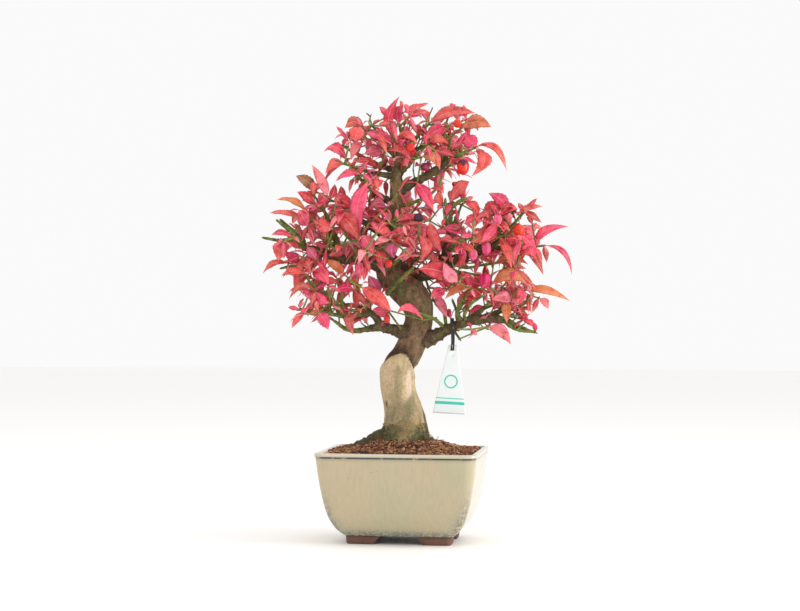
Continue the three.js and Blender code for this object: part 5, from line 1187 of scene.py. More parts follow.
def glazeLook(tree):
    # Celadon over stoneware: cool where it is thick, straw where thin, drawn into fine runs, with
    # blue-grey pools at the foot and corners, a dark line of painted shade under the lip, dark breaks on the
    # rim's corners, and a painted highlight over the lip.
    place = addNode(tree, "TexCoord", None, "Object")
    glaze = addNode(tree, "Attribute", {"attribute_name": "glaze"}, "Vector")
    pooled, lipShadeAndBreak, inside = addNode(tree, "SeparateXYZ", None, slice(3), Vector=glaze)
    clouds = addNode(tree, "TexNoise", Vector=place, Scale=28.0, Detail=3.0)
    straw = addNode(tree, "MapRange", Value=clouds, From_Min=0.4, From_Max=0.62)
    # runs of 0.8 mm, drawn as coarse as 1.5 mm so that they show
    stretched = addNode(tree, "Mapping", Vector=place, Scale=(1.0, 1.0, 0.09))
    drawn = addNode(tree, "TexNoise", Vector=stretched, Scale=650.0, Detail=2.0)
    runs = addNode(tree, "MapRange", Value=drawn, From_Min=0.35, From_Max=0.7, To_Max=0.2)
    # iron specks of 0.4 to 0.8 mm, here and there
    cells = addNode(tree, "TexVoronoi", Vector=place, Scale=230.0)
    spots = addNode(tree, "MapRange", Value=cells, From_Min=0.09, From_Max=0.045)
    sparse = addNode(tree, "TexNoise", Vector=place, Scale=90.0, Detail=1.0)
    few = addNode(tree, "MapRange", Value=sparse, From_Min=0.52, From_Max=0.66)
    specks = addNode(tree, "Math", times, Value0=spots, Value1=few)
    # crystals of 2 mm and less grow in the pools, and the painted shade line under the lip is broken up by 6
    # mm
    crystals = addNode(tree, "TexNoise", Vector=place, Scale=520.0, Detail=3.0)
    grainy = addNode(tree, "MapRange", Value=crystals, From_Min=0.36, From_Max=0.6)
    pools = addNode(tree, "Math", times, Value0=pooled, Value1=grainy)
    patchy = addNode(tree, "TexNoise", Vector=place, Scale=160.0, Detail=4.0)
    dashes = addNode(tree, "MapRange", Value=patchy, From_Min=0.3, From_Max=0.48)
    line = addNode(tree, "Math", times, Value0=lipShadeAndBreak, Value1=dashes)
    # a painted highlight runs pale over the lip, from 65.4 mm up, kept off the bare inside
    height = addNode(tree, "SeparateXYZ", None, "Z", Vector=place)
    lipHighlight = addNode(tree, "MapRange", Value=height, From_Min=0.0654, From_Max=0.0664, To_Max=0.45)
    thin = addNode(tree, "Math", minus, Value0=lipHighlight, Value1=inside)
    colour = "#b1aa8a"
    # line carries the painted shade under the lip and the glaze's break on the rim's corners; thin carries
    # the painted highlight over the lip
    layers = [
        (straw, "#b8a98a"), (runs, "#978e6b"), (specks, "#5c5140"), (pools, "#66706c"),
        (line, "#1c212e"), (inside, "#3d342c"), (thin, "#d3d0c2"),
    ]
    for share, layer in layers:
        colour = addNode(tree, "Mix", colourMix, Factor=share, A=colour, B=layer)
    rough = addNode(tree, "MapRange", Value=patchy, To_Min=0.12, To_Max=0.26)
    # the fired glaze is faintly uneven, from 6 mm down to under 1 mm
    bump = addNode(tree, "Bump", Height=patchy, Strength=0.12, Distance=0.0003)
    return {"Base_Color": colour, "Roughness": rough, "Normal": bump}


def bisqueLook(tree):
    # Bare fired clay: warm brown, dry and slightly sandy
    place = addNode(tree, "TexCoord", None, "Object")
    # grains of about 1 mm, each a little different in colour
    sand, tones = addNode(tree, "TexNoise", None, slice(2), Vector=place, Scale=900.0, Detail=3.0)
    cloud = addNode(tree, "TexNoise", Vector=place, Scale=120.0, Detail=2.0)
    colour = addNode(tree, "Mix", colourMix, Factor=cloud, A="#6d4a3e", B="#8a6556")
    colour = addNode(tree, "Mix", multiply, Factor=0.5, A=colour, B=tones)
    bump = addNode(tree, "Bump", Height=sand, Strength=0.3, Distance=0.0002)
    return {"Base_Color": colour, "Normal": bump}


glazeMaterial = newMaterial(
    "celadon glaze on stoneware", glazeLook, IOR=1.52, Coat_Weight=0.35, Coat_Roughness=0.05,
)
bisqueMaterial = newMaterial("bare brown stoneware", bisqueLook, Roughness=0.85)
potPiece = putPiece("pot_glazed", potBody(), glazeMaterial, ["pot"], onPot=True)
cutDrains(potPiece)
putPiece("pot_feet", potFeet(), bisqueMaterial, ["pot"], onPot=True)
print("pot", len(potPiece.data.polygons))


# Old wood: the trunk with its pale shoulder, the surface roots, the branches and the bare twigs

bark = {
    "rows": 0.95, "around": 110, "lobes": 0.035,
    "limbShare": 0.84,  # how thick a branch is, set against its course's radius
    # colours of the bark; dark is painted shade, used in the recess above the shoulder's edge
    "pale": "#bea782", "brown": "#6c5640", "dark": "#382a1e", "moss": "#5a6434", "rust": "#9a6a3a",
    "recess": 1.5,  # how far the bark above the shoulder's edge lies back
    # marks on the front of the trunk: x, z, half width, half height, colour, strength
    "marks": [
        (2, 94, 15, 12, "#746a52", 0.5), (-7, 108, 4, 7, "#8a7c60", 0.45),
        (6, 108, 3, 6, "#85785c", 0.5), (-12.5, 125, 5, 11, "#c9b493", 0.6),
        (3.9, 118, 2.3, 12, "#dcc6ae", 0.85), (-3.6, 116, 3.6, 17, "#8a7f5e", 0.75),
        (-4, 100, 7, 8, "#99896a", 0.55), (-12.7, 102, 0.9, 3.2, "#3c2a1e", 0.95),
        (5, 101, 5, 8, "#7f7c58", 0.6), (10.5, 97, 3, 14, "#a9946c", 0.6),
        (-8, 82, 7, 6, "#55593a", 0.8), (9, 80, 9, 6, "#4c5232", 0.85),
        (-1, 84, 5, 6, "#a07f52", 0.7), (6, 88, 7, 4, "#a98a58", 0.55),
        (-15, 84, 3, 8, "#8f8260", 0.7),
    ],
}


def shoulderEdge(x):
    # The height of the pale shoulder's edge across the front of the trunk
    right = 12.5 * (np.clip(x + 2.3, 0, None) / 10) ** 2.5
    left = 1.5 * (np.clip(-x - 2.3, 0, None) / 6) ** 2
    return 139.8 - right - left


def blendTint(tint, share, colour):
    return tint + share[..., None] * (np.array(toLinear(colour)) - tint)


def trunkSurface():
    # radius = course radius * (1 + lobes (sin(3a + z/17) + 0.6 sin(5a - z/9))), then stepped back above
    # the shoulder's edge, swollen below it, and roughened by noises drawn out along the grain
    course = smoothCourse(trunk, bark["rows"])
    centres, radii = course[:, :3], course[:, 3:]
    angle = np.arange(bark["around"]) * 2 * math.pi / bark["around"]
    z = centres[:, 2:]
    lobes = bark["lobes"] * (np.sin(3 * angle + z / 17) + 0.6 * np.sin(5 * angle - z / 9))
    rings = tubeRings(centres, radii * (1 + lobes), bark["around"])
    out = unit(rings - centres[:, None])
    x, y, height = rings[..., 0], rings[..., 1] - centres[:, None, 1], rings[..., 2]
    front = smoothStep(5, -4, y)
    above = height - shoulderEdge(x)
    step = smoothStep(-0.3, 0.9, above) * smoothStep(16, 5, above) * front
    swell = np.exp(-(((above + 3.5) / 3.5) ** 2)) * front
    old = smoothStep(136, 146, height + 4 * latticeNoise(rings, 9, 11))
    old = np.maximum(old * (1 - front), smoothStep(-0.5, 0.7, above) * front)
    foot = smoothStep(104, 84, height)
    grain = latticeNoise(rings * [1, 1, 0.4], 3.1, 1)
    ridges = 1 - 2 * np.abs(grain)
    fine = latticeNoise(rings * [1, 1, 0.7], 1.15, 2)
    plates = latticeNoise(rings * [1, 1, 0.45], 5.5, 3)
    relief = old * (0.4 * ridges + 0.34 * fine + 0.35 * plates) * (1 + 0.6 * smoothStep(175, 215, height))
    relief += (1 - old) * (0.16 * plates + (0.07 + 0.2 * foot) * fine + 0.26 * foot * grain)
    rings = rings + out * (relief - bark["recess"] * step + 0.5 * swell)[..., None]

    pale = np.array(toLinear(bark["pale"])) * (1 + 0.16 * plates + 0.16 * fine)[..., None]
    tint = blendTint(pale, 0.4 * smoothStep(-0.1, 0.6, grain) * (0.35 + foot), "#7f7656")
    blotch = latticeNoise(rings * [1, 1, 0.6], 2.3, 21)
    tint = blendTint(tint, 0.4 * smoothStep(0.05, 0.55, blotch), "#857757")
    tint = blendTint(tint, 0.3 * smoothStep(0.1, 0.6, -blotch), "#cbb897")
    for markX, markZ, halfX, halfZ, colour, strength in bark["marks"]:
        across, upwards = (x - markX + 0.9 * plates) / halfX, (height - markZ + 1.6 * grain) / halfZ
        reach = across**2 + upwards**2
        tint = blendTint(tint, strength * smoothStep(1.25, 0.35, reach) * front, colour)
    # on the far side the foot is mossy too
    tint = blendTint(tint, 0.6 * (1 - front) * smoothStep(95, 80, height + 6 * grain), bark["moss"])
    worn = smoothStep(112, 88, height + 9 * plates) * smoothStep(-0.5, 0.5, grain + 0.4 * fine)
    tint = blendTint(tint, 0.6 * worn, "#6d6546")
    speckled = smoothStep(0.35, 0.7, latticeNoise(rings, 1.0, 5)) * foot
    tint = blendTint(tint, 0.7 * speckled, "#c29a5c")
    brown = np.array(toLinear(bark["brown"])) * (1 + 0.45 * ridges + 0.35 * fine)[..., None]
    # painted highlight: above 195 mm the raised ridges are paler
    brown = blendTint(brown, 0.5 * smoothStep(0.3, 0.8, ridges) * smoothStep(195, 225, height), "#a8906c")
    mossy = smoothStep(0.15, 0.6, plates) * smoothStep(150, 175, height)
    brown = blendTint(brown, 0.5 * mossy, bark["moss"])
    brown = blendTint(brown, 0.55 * smoothStep(0.45, 0.8, fine), bark["rust"])
    # painted shade: a dark band in the recess just above the shoulder's edge
    neckShade = np.exp(-(((above - 2.6) / 4.2) ** 2))
    brown = blendTint(brown, np.clip(0.92 * neckShade, 0, 1), bark["dark"])
    tint = tint + old[..., None] * (brown - tint)
    return ringSurface(rings, tint=np.clip(tint, 0.005, 1), girth=radii[:, None])


def limbTint(rings, radii, seed):
    # Thick wood is grey-brown with moss, thin wood is green, and both are blotched with dark bark
    patch = latticeNoise(rings, 3.4, seed)
    fine = latticeNoise(rings, 1.2, seed + 1)
    thin = smoothStep(2.6, 1.1, radii[:, None] + 0.5 * patch)
    brown = np.array(toLinear("#524030")) * (1 + 0.3 * fine)[..., None]
    brown = blendTint(brown, 0.55 * smoothStep(0.0, 0.5, patch), "#6a6a3a")
    brown = blendTint(brown, 0.5 * smoothStep(0.4, 0.75, fine), "#8f6a45")
    green = np.array(toLinear("#6f7f38")) * (1 + 0.25 * fine)[..., None]
    green = blendTint(green, 0.75 * smoothStep(0.15, 0.5, -patch), "#4d3c2a")
    return np.clip(brown + thin[..., None] * (green - brown), 0.005, 1)


def branchSurface(course, seed, pointed=False, collar=0.0):
    # radius(s) = share of the course's radius * (1 + collar exp(-(s / 11)^2)) * the knots' swellings,
    # with bark relief of about a tenth of it
    rng = np.random.default_rng(seed)
    smooth = smoothCourse(course, 0.9)
    centres, radii = smooth[:, :3], smooth[:, 3] * bark["limbShare"]
    lengths = np.concatenate([[0], np.cumsum(np.linalg.norm(np.diff(centres, axis=0), axis=1))])
    # wood doesn't run quite straight between its joints
    sway = np.sin(lengths / rng.uniform(2.2, 3.2))[:, None] * rng.uniform(-1, 1, 3) * 0.22
    free = smoothStep(0, 6, lengths) * smoothStep(lengths[-1], lengths[-1] - 4, lengths)
    centres = centres + sway * free[:, None]
    for knot in np.cumsum(rng.uniform(3.5, 7.5, 40)):
        radii *= 1 + rng.uniform(0.08, 0.26) * np.exp(-(((lengths - knot) / (0.5 + 0.25 * radii)) ** 2))
    radii *= 1 + collar * np.exp(-((lengths / 11) ** 2))
    if pointed:
        fromEnd = np.clip((lengths[-1] - lengths) / 1.6, 0, 1)
        radii *= 0.25 + 0.75 * np.sqrt(fromEnd)
    sides = 18 if radii.max() > 3 else 12
    rings = tubeRings(centres, radii[:, None] * np.ones(sides), sides)
    out = unit(rings - centres[:, None])
    rough = 1 - 2 * np.abs(latticeNoise(rings, 1.3 + 0.35 * radii[:, None, None], seed))
    relief = np.clip(0.12 * radii, 0.04, 0.5)[:, None] * (rough + 0.6 * latticeNoise(rings, 1.0, seed + 2))
    rings = rings + out * relief[..., None]
    return ringSurface(rings, tint=limbTint(rings, radii, seed), girth=radii[:, None, None])


spurShape = {
    "short": (2.2, 7), "long": (8, 15), "shortShare": 0.55, "radii": [[0.62], [0.5], [0.42]],
    "leaf": (8, 17), "lowest": 157,
}


def spurSurfaces():
    # Short spurs and last year's bud stalks stand along the branches, as a real crown has them.
    rng = np.random.default_rng(5)
    made, leaves = [], []
    for course in branches.values():
        smooth = smoothCourse(course, 0.9)
        along, across, over = crossAxes(smooth[:, :3])
        first = 14 if course[0][3] > 4 else 5
        for place in np.arange(first, len(smooth) - 3, 4):
            i = min(int(place + rng.integers(0, 5)), len(smooth) - 2)
            turn = rng.uniform(0, 2 * math.pi)
            out = math.cos(turn) * across[i] + math.sin(turn) * over[i]
            way = unit(out + along[i] * rng.uniform(0.2, 0.9) + upward * rng.uniform(0, 0.5))
            isShort = rng.random() < spurShape["shortShare"]
            length = rng.uniform(*spurShape["short" if isShort else "long"])
            start = smooth[i, :3] + out * smooth[i, 3] * 0.6
            bend = np.cross(way, rng.normal(size=3)) * 0.15 * length
            points = [start, start + way * length * 0.5 + bend, start + way * length]
            x, y, z = points[-1]
            if z < spurShape["lowest"] or (abs(x - 9) < 14 and y < 4 and z < 188):
                continue
            spur = smoothCourse(np.concatenate([points, spurShape["radii"]], 1), 0.8)
            tint = greenTwig * rng.uniform(0.5, 1.15)
            made.append(limbSurface(spur, 6, [length * 0.5, length - 0.8], i, 0.9, tint))
            seats = points[1:] if length > 8 else points[2:]
            for turned in rng.uniform(-1, 1, (rng.integers(0, 2 + len(seats)), 3)):
                seat = seats[rng.integers(len(seats))]
                leaf = smallLeaf(rng, seat, unit(way + 0.9 * turned), rng.uniform(*spurShape["leaf"]))
                if hangsFree(leaf):
                    leaves.append(leafSurface(leaf, rng.integers(10**6)))
    return made, leaves


def barkLook(tree):
    # Old bark: its own tint broken up by dark cracks 1 mm apart and orange-brown pores of 0.5 to 0.9 mm
    place = addNode(tree, "TexCoord", None, "Object")
    tint = addNode(tree, "Attribute", {"attribute_name": "tint"}, "Vector")
    girth = addNode(tree, "Attribute", {"attribute_name": "girth"}, "Fac")
    fine = addNode(tree, "TexNoise", Vector=place, Scale=900.0, Detail=5.0, Roughness=0.65)
    broad = addNode(tree, "TexNoise", Vector=place, Scale=260.0, Detail=4.0)
    shade = addNode(tree, "MapRange", Value=fine, From_Min=0.5, From_Max=0.34, To_Max=0.45)
    colour = addNode(tree, "Mix", multiply, Factor=shade, A=tint, B="#6a5846")
    lit = addNode(tree, "MapRange", Value=fine, From_Min=0.58, From_Max=0.72, To_Max=0.35)
    colour = addNode(tree, "Mix", colourMix, Factor=lit, A=colour, B="#c8ae88")
    cells = addNode(tree, "TexVoronoi", Vector=place, Scale=520.0)
    pores = addNode(tree, "MapRange", Value=cells, From_Min=0.24, From_Max=0.12)
    few = addNode(tree, "MapRange", Value=broad, From_Min=0.5, From_Max=0.62, To_Max=0.5)
    share = addNode(tree, "Math", times, Value0=pores, Value1=few)
    colour = addNode(tree, "Mix", colourMix, Factor=share, A=colour, B="#a87a48")
    strength = addNode(tree, "MapRange", Value=girth, From_Min=1.0, From_Max=5.0, To_Min=0.35, To_Max=0.7)
    bump = addNode(tree, "Bump", Height=fine, Strength=strength, Distance=0.0006)
    return {"Base_Color": colour, "Normal": bump}


barkMaterial = newMaterial("dry old bark", barkLook, Roughness=0.86, IOR=1.4)
trunkPiece = putPiece("trunk", trunkSurface(), barkMaterial, ["wood"])
# only the left root stands clear of the soil, and the others lie deeper in it
sunk = [np.array(course) - [0, 0, 0.6 if i == 0 else 3.4, 0.9] for i, course in enumerate(roots)]
rootSurfaces = [branchSurface(course, 40 + i) for i, course in enumerate(sunk)]
for surface in rootSurfaces:
    earthy = latticeNoise(surface["points"], 4, 9)
    surface["tint"] = blendTint(surface["tint"] * 0.75, 0.5 + 0.3 * earthy, "#4b4a38")
putPiece("surface_roots", joinSurfaces(rootSurfaces), barkMaterial, ["wood"])
for i, (name, course) in enumerate(branches.items()):
    collar = 0.3 if course[0][3] > 3.5 else 0.12
    putPiece("branch_" + name, branchSurface(course, 60 + i, collar=collar), barkMaterial, ["wood"])
bare = joinSurfaces([branchSurface(course, 120 + i, pointed=True) for i, course in enumerate(woodTwigs)])
putPiece("bare_twigs", bare, barkMaterial, ["wood"])
spurs, spurLeaves = spurSurfaces()
putPiece("spurs", joinSurfaces(spurs), twigMaterial, ["wood"])
putPiece("spur_leaves", joinSurfaces(spurLeaves), leafMaterial)
print("wood", len(trunkPiece.data.polygons))


# Soil: a mound of baked clay grains and bark crumbs, with straw, sprouts and moss

soil = {
    "brim": 65.8, "rise": 13.5, "reach": 35, "inset": 5.6,
    "grains": 3600, "straws": 420, "mossTufts": 1400,
    # x, y and height of each curled stem, most of them right of the trunk
    "sprouts": [(26, -13, 8), (29, -10, 5.5), (46, -12, 6), (49, -8, 5), (43, -18, 4.5), (-36, -24, 4.5)],
    "tints": ["#905c44", "#7c4a38", "#a46e50", "#663e2c", "#b2805c", "#4a3226", "#ba9470", "#90664a"],
}


def moundHeight(x, y):
    # brim + rise * exp(-(hypot(x, 1.2 y) / reach)^2)
    return soil["brim"] + soil["rise"] * np.exp(-((np.hypot(x, 1.2 * y) / soil["reach"]) ** 2))


def soilSurface():
    # The body under the grains: down the wall, then over the top as rings that close on the middle
    edge = potRing(soil["brim"], soil["inset"], 4.4)
    shares = np.linspace(1, 0.02, 46)[:, None, None]
    top = edge * np.concatenate([shares, shares, np.ones_like(shares)], -1)
    top[..., 2] = moundHeight(top[..., 0], top[..., 1]) - 0.5
    top[..., 2] += 0.5 * latticeNoise(top, 2.4, 6)
    wallPlaces = ((12.5, 25), (17, 16), (24, 13.4), (38, 10), (56, 7))
    wall = np.array([potRing(z, inset, 4) for z, inset in wallPlaces])
    return ringSurface(np.concatenate([wall, top]), tint=np.array(toLinear("#4c2c1e")))


def pickedTints(rng, count, colours):
    return np.array([toLinear(colour) for colour in colours])[rng.integers(0, len(colours), count)]


def scattered(shape, centres, sizes, turns, tints, seed, ragged=0.0):
    # One small closed shape set down many times: point = centre + turn . (shape * size), each with its
    # corners pulled in or out a little
    rng = np.random.default_rng(seed)
    count, corners = len(centres), len(shape["points"])
    jitter = 1 + ragged * rng.uniform(-1, 1, (count, corners, 1))
    points = np.einsum("nij,ncj->nci", turns, shape["points"] * jitter * sizes[:, None])
    points = points + centres[:, None]
    starts = (np.arange(count) * corners)[:, None, None]
    return {
        "points": points.reshape(-1, 3),
        "quads": (shape["quads"] + starts).reshape(-1, 4),
        "triangles": (shape["triangles"] + starts).reshape(-1, 3),
        "tint": np.repeat(tints, corners, axis=0),
    }


def randomTurns(rng, count):
    # Rotation matrices of random unit quaternions
    w, x, y, z = unit(rng.normal(size=(count, 4))).T
    rows = [
        [1 - 2 * (y * y + z * z), 2 * (x * y - z * w), 2 * (x * z + y * w)],
        [2 * (x * y + z * w), 1 - 2 * (x * x + z * z), 2 * (y * z - x * w)],
        [2 * (x * z - y * w), 2 * (y * z + x * w), 1 - 2 * (x * x + y * y)],
    ]
    return np.array(rows).transpose(2, 0, 1)


def scatterPlaces(rng, count, margin, keepFrom):
    # Places on the mound, clear of the pot's wall and of the trunk
    inset = soil["inset"] + margin
    halfX, halfY = pot["width"] / 2 - inset, pot["depth"] / 2 - inset
    x, y = rng.uniform(-1, 1, (2, count * 2))
    x, y = x * halfX, y * halfY
    pastX, pastY = np.clip(np.abs(x) - halfX + 3, 0, None), np.clip(np.abs(y) - halfY + 3, 0, None)
    keep = (np.hypot(x - 1, y) > keepFrom) & (np.hypot(pastX, pastY) < 3)
    return x[keep][:count], y[keep][:count]


def grainSurface():
    rng = np.random.default_rng(7)
    angle = np.arange(5) * 2 * math.pi / 5
    ring = np.stack([np.cos(angle), np.sin(angle), 0 * angle], -1) * 0.894
    high = np.stack([np.cos(angle + math.pi / 5), np.sin(angle + math.pi / 5), 0 * angle], -1) * 0.894
    rings = np.array([ring + [0, 0, -0.447], high + [0, 0, 0.447]])
    shape = ringSurface(rings, ends=[[0, 0, -1.0], [0, 0, 1.0]])
    x, y = scatterPlaces(rng, soil["grains"], 1.2, 15)
    radius = rng.uniform(0.55, 1.0, len(x)) + 0.9 * rng.random(len(x)) ** 4
    z = moundHeight(x, y) + rng.uniform(-0.4, 0.75, len(x)) * radius
    sizes = radius[:, None] * rng.uniform(0.7, 1.25, (len(x), 3))
    tints = pickedTints(rng, len(x), soil["tints"]) * rng.uniform(0.85, 1.45, (len(x), 1))
    return scattered(shape, np.stack([x, y, z], -1), sizes, randomTurns(rng, len(x)), tints, 8, 0.22)


def strawSurface():
    # Bits of straw and bark fibre lying about: tubes of four sides along 0.2 (1 - t^2), bent sideways
    # by 0.12 t^2
    rng = np.random.default_rng(9)
    t = np.linspace(-1, 1, 6)
    centres = np.stack([t, 0.12 * t**2, 0.2 * (1 - t**2)], -1)
    shape = ringSurface(tubeRings(centres, 0.055 * np.ones(6), 4))
    x, y = scatterPlaces(rng, soil["straws"], 4, 16)
    turn = rng.uniform(0, 2 * math.pi, len(x))
    tilt = rng.normal(0, 0.22, len(x))
    cosT, sinT, cosL, sinL = np.cos(turn), np.sin(turn), np.cos(tilt), np.sin(tilt)
    rows = [[cosT * cosL, -sinT, -cosT * sinL], [sinT * cosL, cosT, -sinT * sinL], [sinL, 0 * turn, cosL]]
    turns = np.array(rows).transpose(2, 0, 1)
    sizes = rng.uniform(1.4, 4.2, (len(x), 1)) * np.ones(3)
    centres = np.stack([x, y, moundHeight(x, y) + 0.9], -1)
    tints = pickedTints(rng, len(x), ("#c9a06a", "#a97a4a", "#d8b888", "#8a5a38"))
    return scattered(shape, centres, sizes, turns, tints, 10)


def sproutSurfaces():
    # Thin curled stems: a rising course that winds about itself near its top
    rng = np.random.default_rng(12)
    made = []
    for x, y, tall in soil["sprouts"]:
        t = np.linspace(0, 1, 26)
        wind = 5.5 * t**2 * math.pi + rng.uniform(0, 6)
        curl = 1.1 * t**1.5
        rise = tall * t * (1.15 - 0.25 * t) + moundHeight(x, y) - 0.3
        centres = np.stack([x + curl * np.cos(wind) + 2 * t, y + curl * np.sin(wind), rise], -1)
        radii = np.interp(t, [0, 0.8, 1], [0.24, 0.18, 0.1])
        made.append(ringSurface(tubeRings(centres, radii, 6), tint=np.array(toLinear("#b98a58"))))
    return made


def mossSurface():
    # Three-sided blades on the trunk's foot and on the soil round it: radius(z) is the trunk's, and
    # 2.5 (1 - climb)^3 wider on the soil
    rng = np.random.default_rng(14)
    angle = np.arange(3) * 2 * math.pi / 3
    flat = np.stack([np.cos(angle), np.sin(angle), 0 * angle], -1)
    blade = np.array([flat * 0.3, flat * 0.22 + [0.05, 0, 0.5]])
    shape = ringSurface(blade, ends=[[0, 0, 0], [0.16, 0, 1]])
    count = soil["mossTufts"]
    rightHalf = rng.normal(-0.75, 0.45, count // 2)
    turn = np.concatenate([rightHalf, rng.normal(-2.3, 0.5, count - count // 2)])
    climb = rng.random(count) ** 1.8
    height = 76 + 12 * climb
    course = np.array(trunk, float)
    radius = np.interp(height, course[:, 2], course[:, 3]) * 1.01 + 2.5 * (1 - climb) ** 3
    x = 1 + radius * np.cos(turn)
    y = radius * np.sin(turn)
    z = np.where(climb < 0.12, np.maximum(height, moundHeight(x, y)), height)
    out = unit(np.stack([np.cos(turn), np.sin(turn), 0.5 + 0 * turn], -1) + rng.normal(0, 0.35, (count, 3)))
    side = unit(np.cross(out, upward))
    turns = np.stack([side, np.cross(out, side), out], -1)
    sizes = rng.uniform(0.35, 0.8, (count, 1)) * [1.3, 1.3, 1]
    tints = pickedTints(rng, count, ("#59622e", "#6a6f36", "#3f4524", "#8a8046"))
    return scattered(shape, np.stack([x, y, z], -1), sizes, turns, tints, 15)


def soilLook(tree):
    # Dry baked clay and bark crumbs, each in its own tint, dusty and quite without shine
    place = addNode(tree, "TexCoord", None, "Object")
    tint = addNode(tree, "Attribute", {"attribute_name": "tint"}, "Vector")
    dust = addNode(tree, "TexNoise", Vector=place, Scale=1400.0, Detail=3.0)
    shade = addNode(tree, "MapRange", Value=dust, From_Min=0.35, From_Max=0.65, To_Max=0.5)
    colour = addNode(tree, "Mix", multiply, Factor=shade, A=tint, B="#90706a")
    bump = addNode(tree, "Bump", Height=dust, Strength=0.5, Distance=0.0004)
    return {"Base_Color": colour, "Normal": bump}


soilMaterial = newMaterial("dry clay and bark crumbs", soilLook, Roughness=0.95)
putPiece("soil_body", soilSurface(), soilMaterial, ["soil"], onPot=True)
grains = putPiece("soil_grains", grainSurface(), soilMaterial, ["soil"], onPot=True)
grains.data.shade_flat()
litter = joinSurfaces([strawSurface(), *sproutSurfaces()])
putPiece("straw_and_sprouts", litter, soilMaterial, ["soil"], onPot=True)
putPiece("moss", mossSurface(), soilMaterial, ["soil"])
print("soil", len(grains.data.polygons))


# Tag and tie, and the plastic mesh over the drain holes

tag = {
    "x": 36.5, "y": -5.6, "top": 146.5, "height": 51.5, "topWidth": 6.5, "bottomWidth": 25,
    "thickness": 0.6, "slotHeight": 46, "slotWidth": 3.2, "slotLength": 5, "bow": 0.8,
    "lean": 3.2,  # degrees out of true
    # the print: two stripes and a ring, each with its middle and half its width
    "broad": (8.0, 1.1), "narrow": (11.4, 0.35), "ring": (4.6, 0.55), "ringHeight": 24.0,
}
tie = {"radius": 0.58, "top": 166, "branchHalf": 8, "slotHalf": 2, "gap": 0.3}


def tagSurface():
    # Rays run from the slot's rim to the plate's outline. Each ray's section goes out over the front
    # and back under, so that the sections close round the slot. The sheet is bowed a little.
    halfLow, halfTop, tall = tag["bottomWidth"] / 2, tag["topWidth"] / 2, tag["height"]
    corners = np.array([(-halfLow, 0), (halfLow, 0), (halfTop, tall), (-halfTop, tall)])
    share = np.linspace(0, 1, 33)[:-1, None]
    outline = np.concatenate([corners[i] * (1 - share) + corners[(i + 1) % 4] * share for i in range(4)])
    # the corners are drawn in a little
    outline = outline - 0.02 * (outline - [0, tall / 2]) * (np.arange(len(outline)) % 32 == 0)[:, None]
    middle = np.array([0, tag["slotHeight"]])
    angle = np.arctan2(outline[:, 1] - middle[1], outline[:, 0])
    rim = middle + np.stack([np.cos(angle) * tag["slotWidth"], np.sin(angle) * tag["slotLength"]], -1) / 2
    out = np.array([0, 0.06, 0.25, 0.5, 0.75, 0.97, 1])[:, None]
    flat = rim[:, None] * (1 - out) + outline[:, None] * out
    half = tag["thickness"] / 2
    bow = tag["bow"] * np.sin(flat[..., 1] / tall * math.pi) - 0.02 * flat[..., 0]
    edge = np.array([0.6, 1, 1, 1, 1, 1, 0.6])
    faces = [np.stack([flat[..., 0], bow + sign * half * edge, flat[..., 1]], -1) for sign in (-1, 1)]
    rings = np.concatenate([faces[0], faces[1][:, ::-1]], 1)
    place = np.stack([rings[..., 0], rings[..., 2], rings[..., 1] * 0], -1)
    # it hangs turned about its slot
    lean = math.radians(tag["lean"])
    fromSlot = rings[..., [0, 2]] - middle
    rings[..., 0] = fromSlot @ [math.cos(lean), math.sin(lean)]
    rings[..., 2] = fromSlot @ [-math.sin(lean), math.cos(lean)] + middle[1]
    rings = rings + [tag["x"], tag["y"], tag["top"] - tall]
    return loopSurface(rings, place=place)


def loopSurface(rings, **marks):
    # A closed skin whose last ring joins on to its first
    surface = ringSurface(rings, **marks)
    count, sides = rings.shape[:2]
    j = np.arange(sides)
    k = (j + 1) % sides
    last = (count - 1) * sides
    surface["quads"] = np.concatenate([surface["quads"], np.stack([last + j, last + k, k, j], -1)])
    surface["triangles"] = np.zeros((0, 3), int)
    for name in surface.keys() - {"quads", "triangles"}:
        surface[name] = surface[name][:-2]
    return surface


def tieSurface(strand):
    # half(a) = slotHalf + (branchHalf - slotHalf) * (0.5 + 0.5 sin a)^0.6 carries the loop from the slot
    # over the branch. Its ribbed skin is radius * (1 + 0.08 sin(4 turn + 30 a)).
    steps, sides = 180, 16
    angle = np.arange(steps) * 2 * math.pi / steps
    share = 0.5 + 0.5 * np.sin(angle)
    slotZ = tag["top"] - tag["height"] + tag["slotHeight"]
    bottom = slotZ + tag["slotLength"] / 2 - tie["gap"] - 0.7
    half = tie["slotHalf"] + (tie["branchHalf"] - tie["slotHalf"]) * share**0.6
    slack = strand * (0.62 + 0.25 * np.sin(2 * angle + strand))
    height = bottom + (tie["top"] - bottom) * share
    centres = np.stack([tag["x"] + slack, tag["y"] + half * np.cos(angle), height], -1)
    out = unit(np.stack([0 * angle, np.cos(angle), np.sin(angle) * 0.8], -1))
    turn = np.arange(sides) * 2 * math.pi / sides
    radius = tie["radius"] * (1 + 0.08 * np.sin(4 * turn + 30 * angle[:, None]))
    side = np.array([1.0, 0, 0])
    spokes = np.cos(turn)[:, None] * out[:, None] + np.sin(turn)[:, None] * side
    return loopSurface(centres[:, None] + radius[..., None] * spokes)


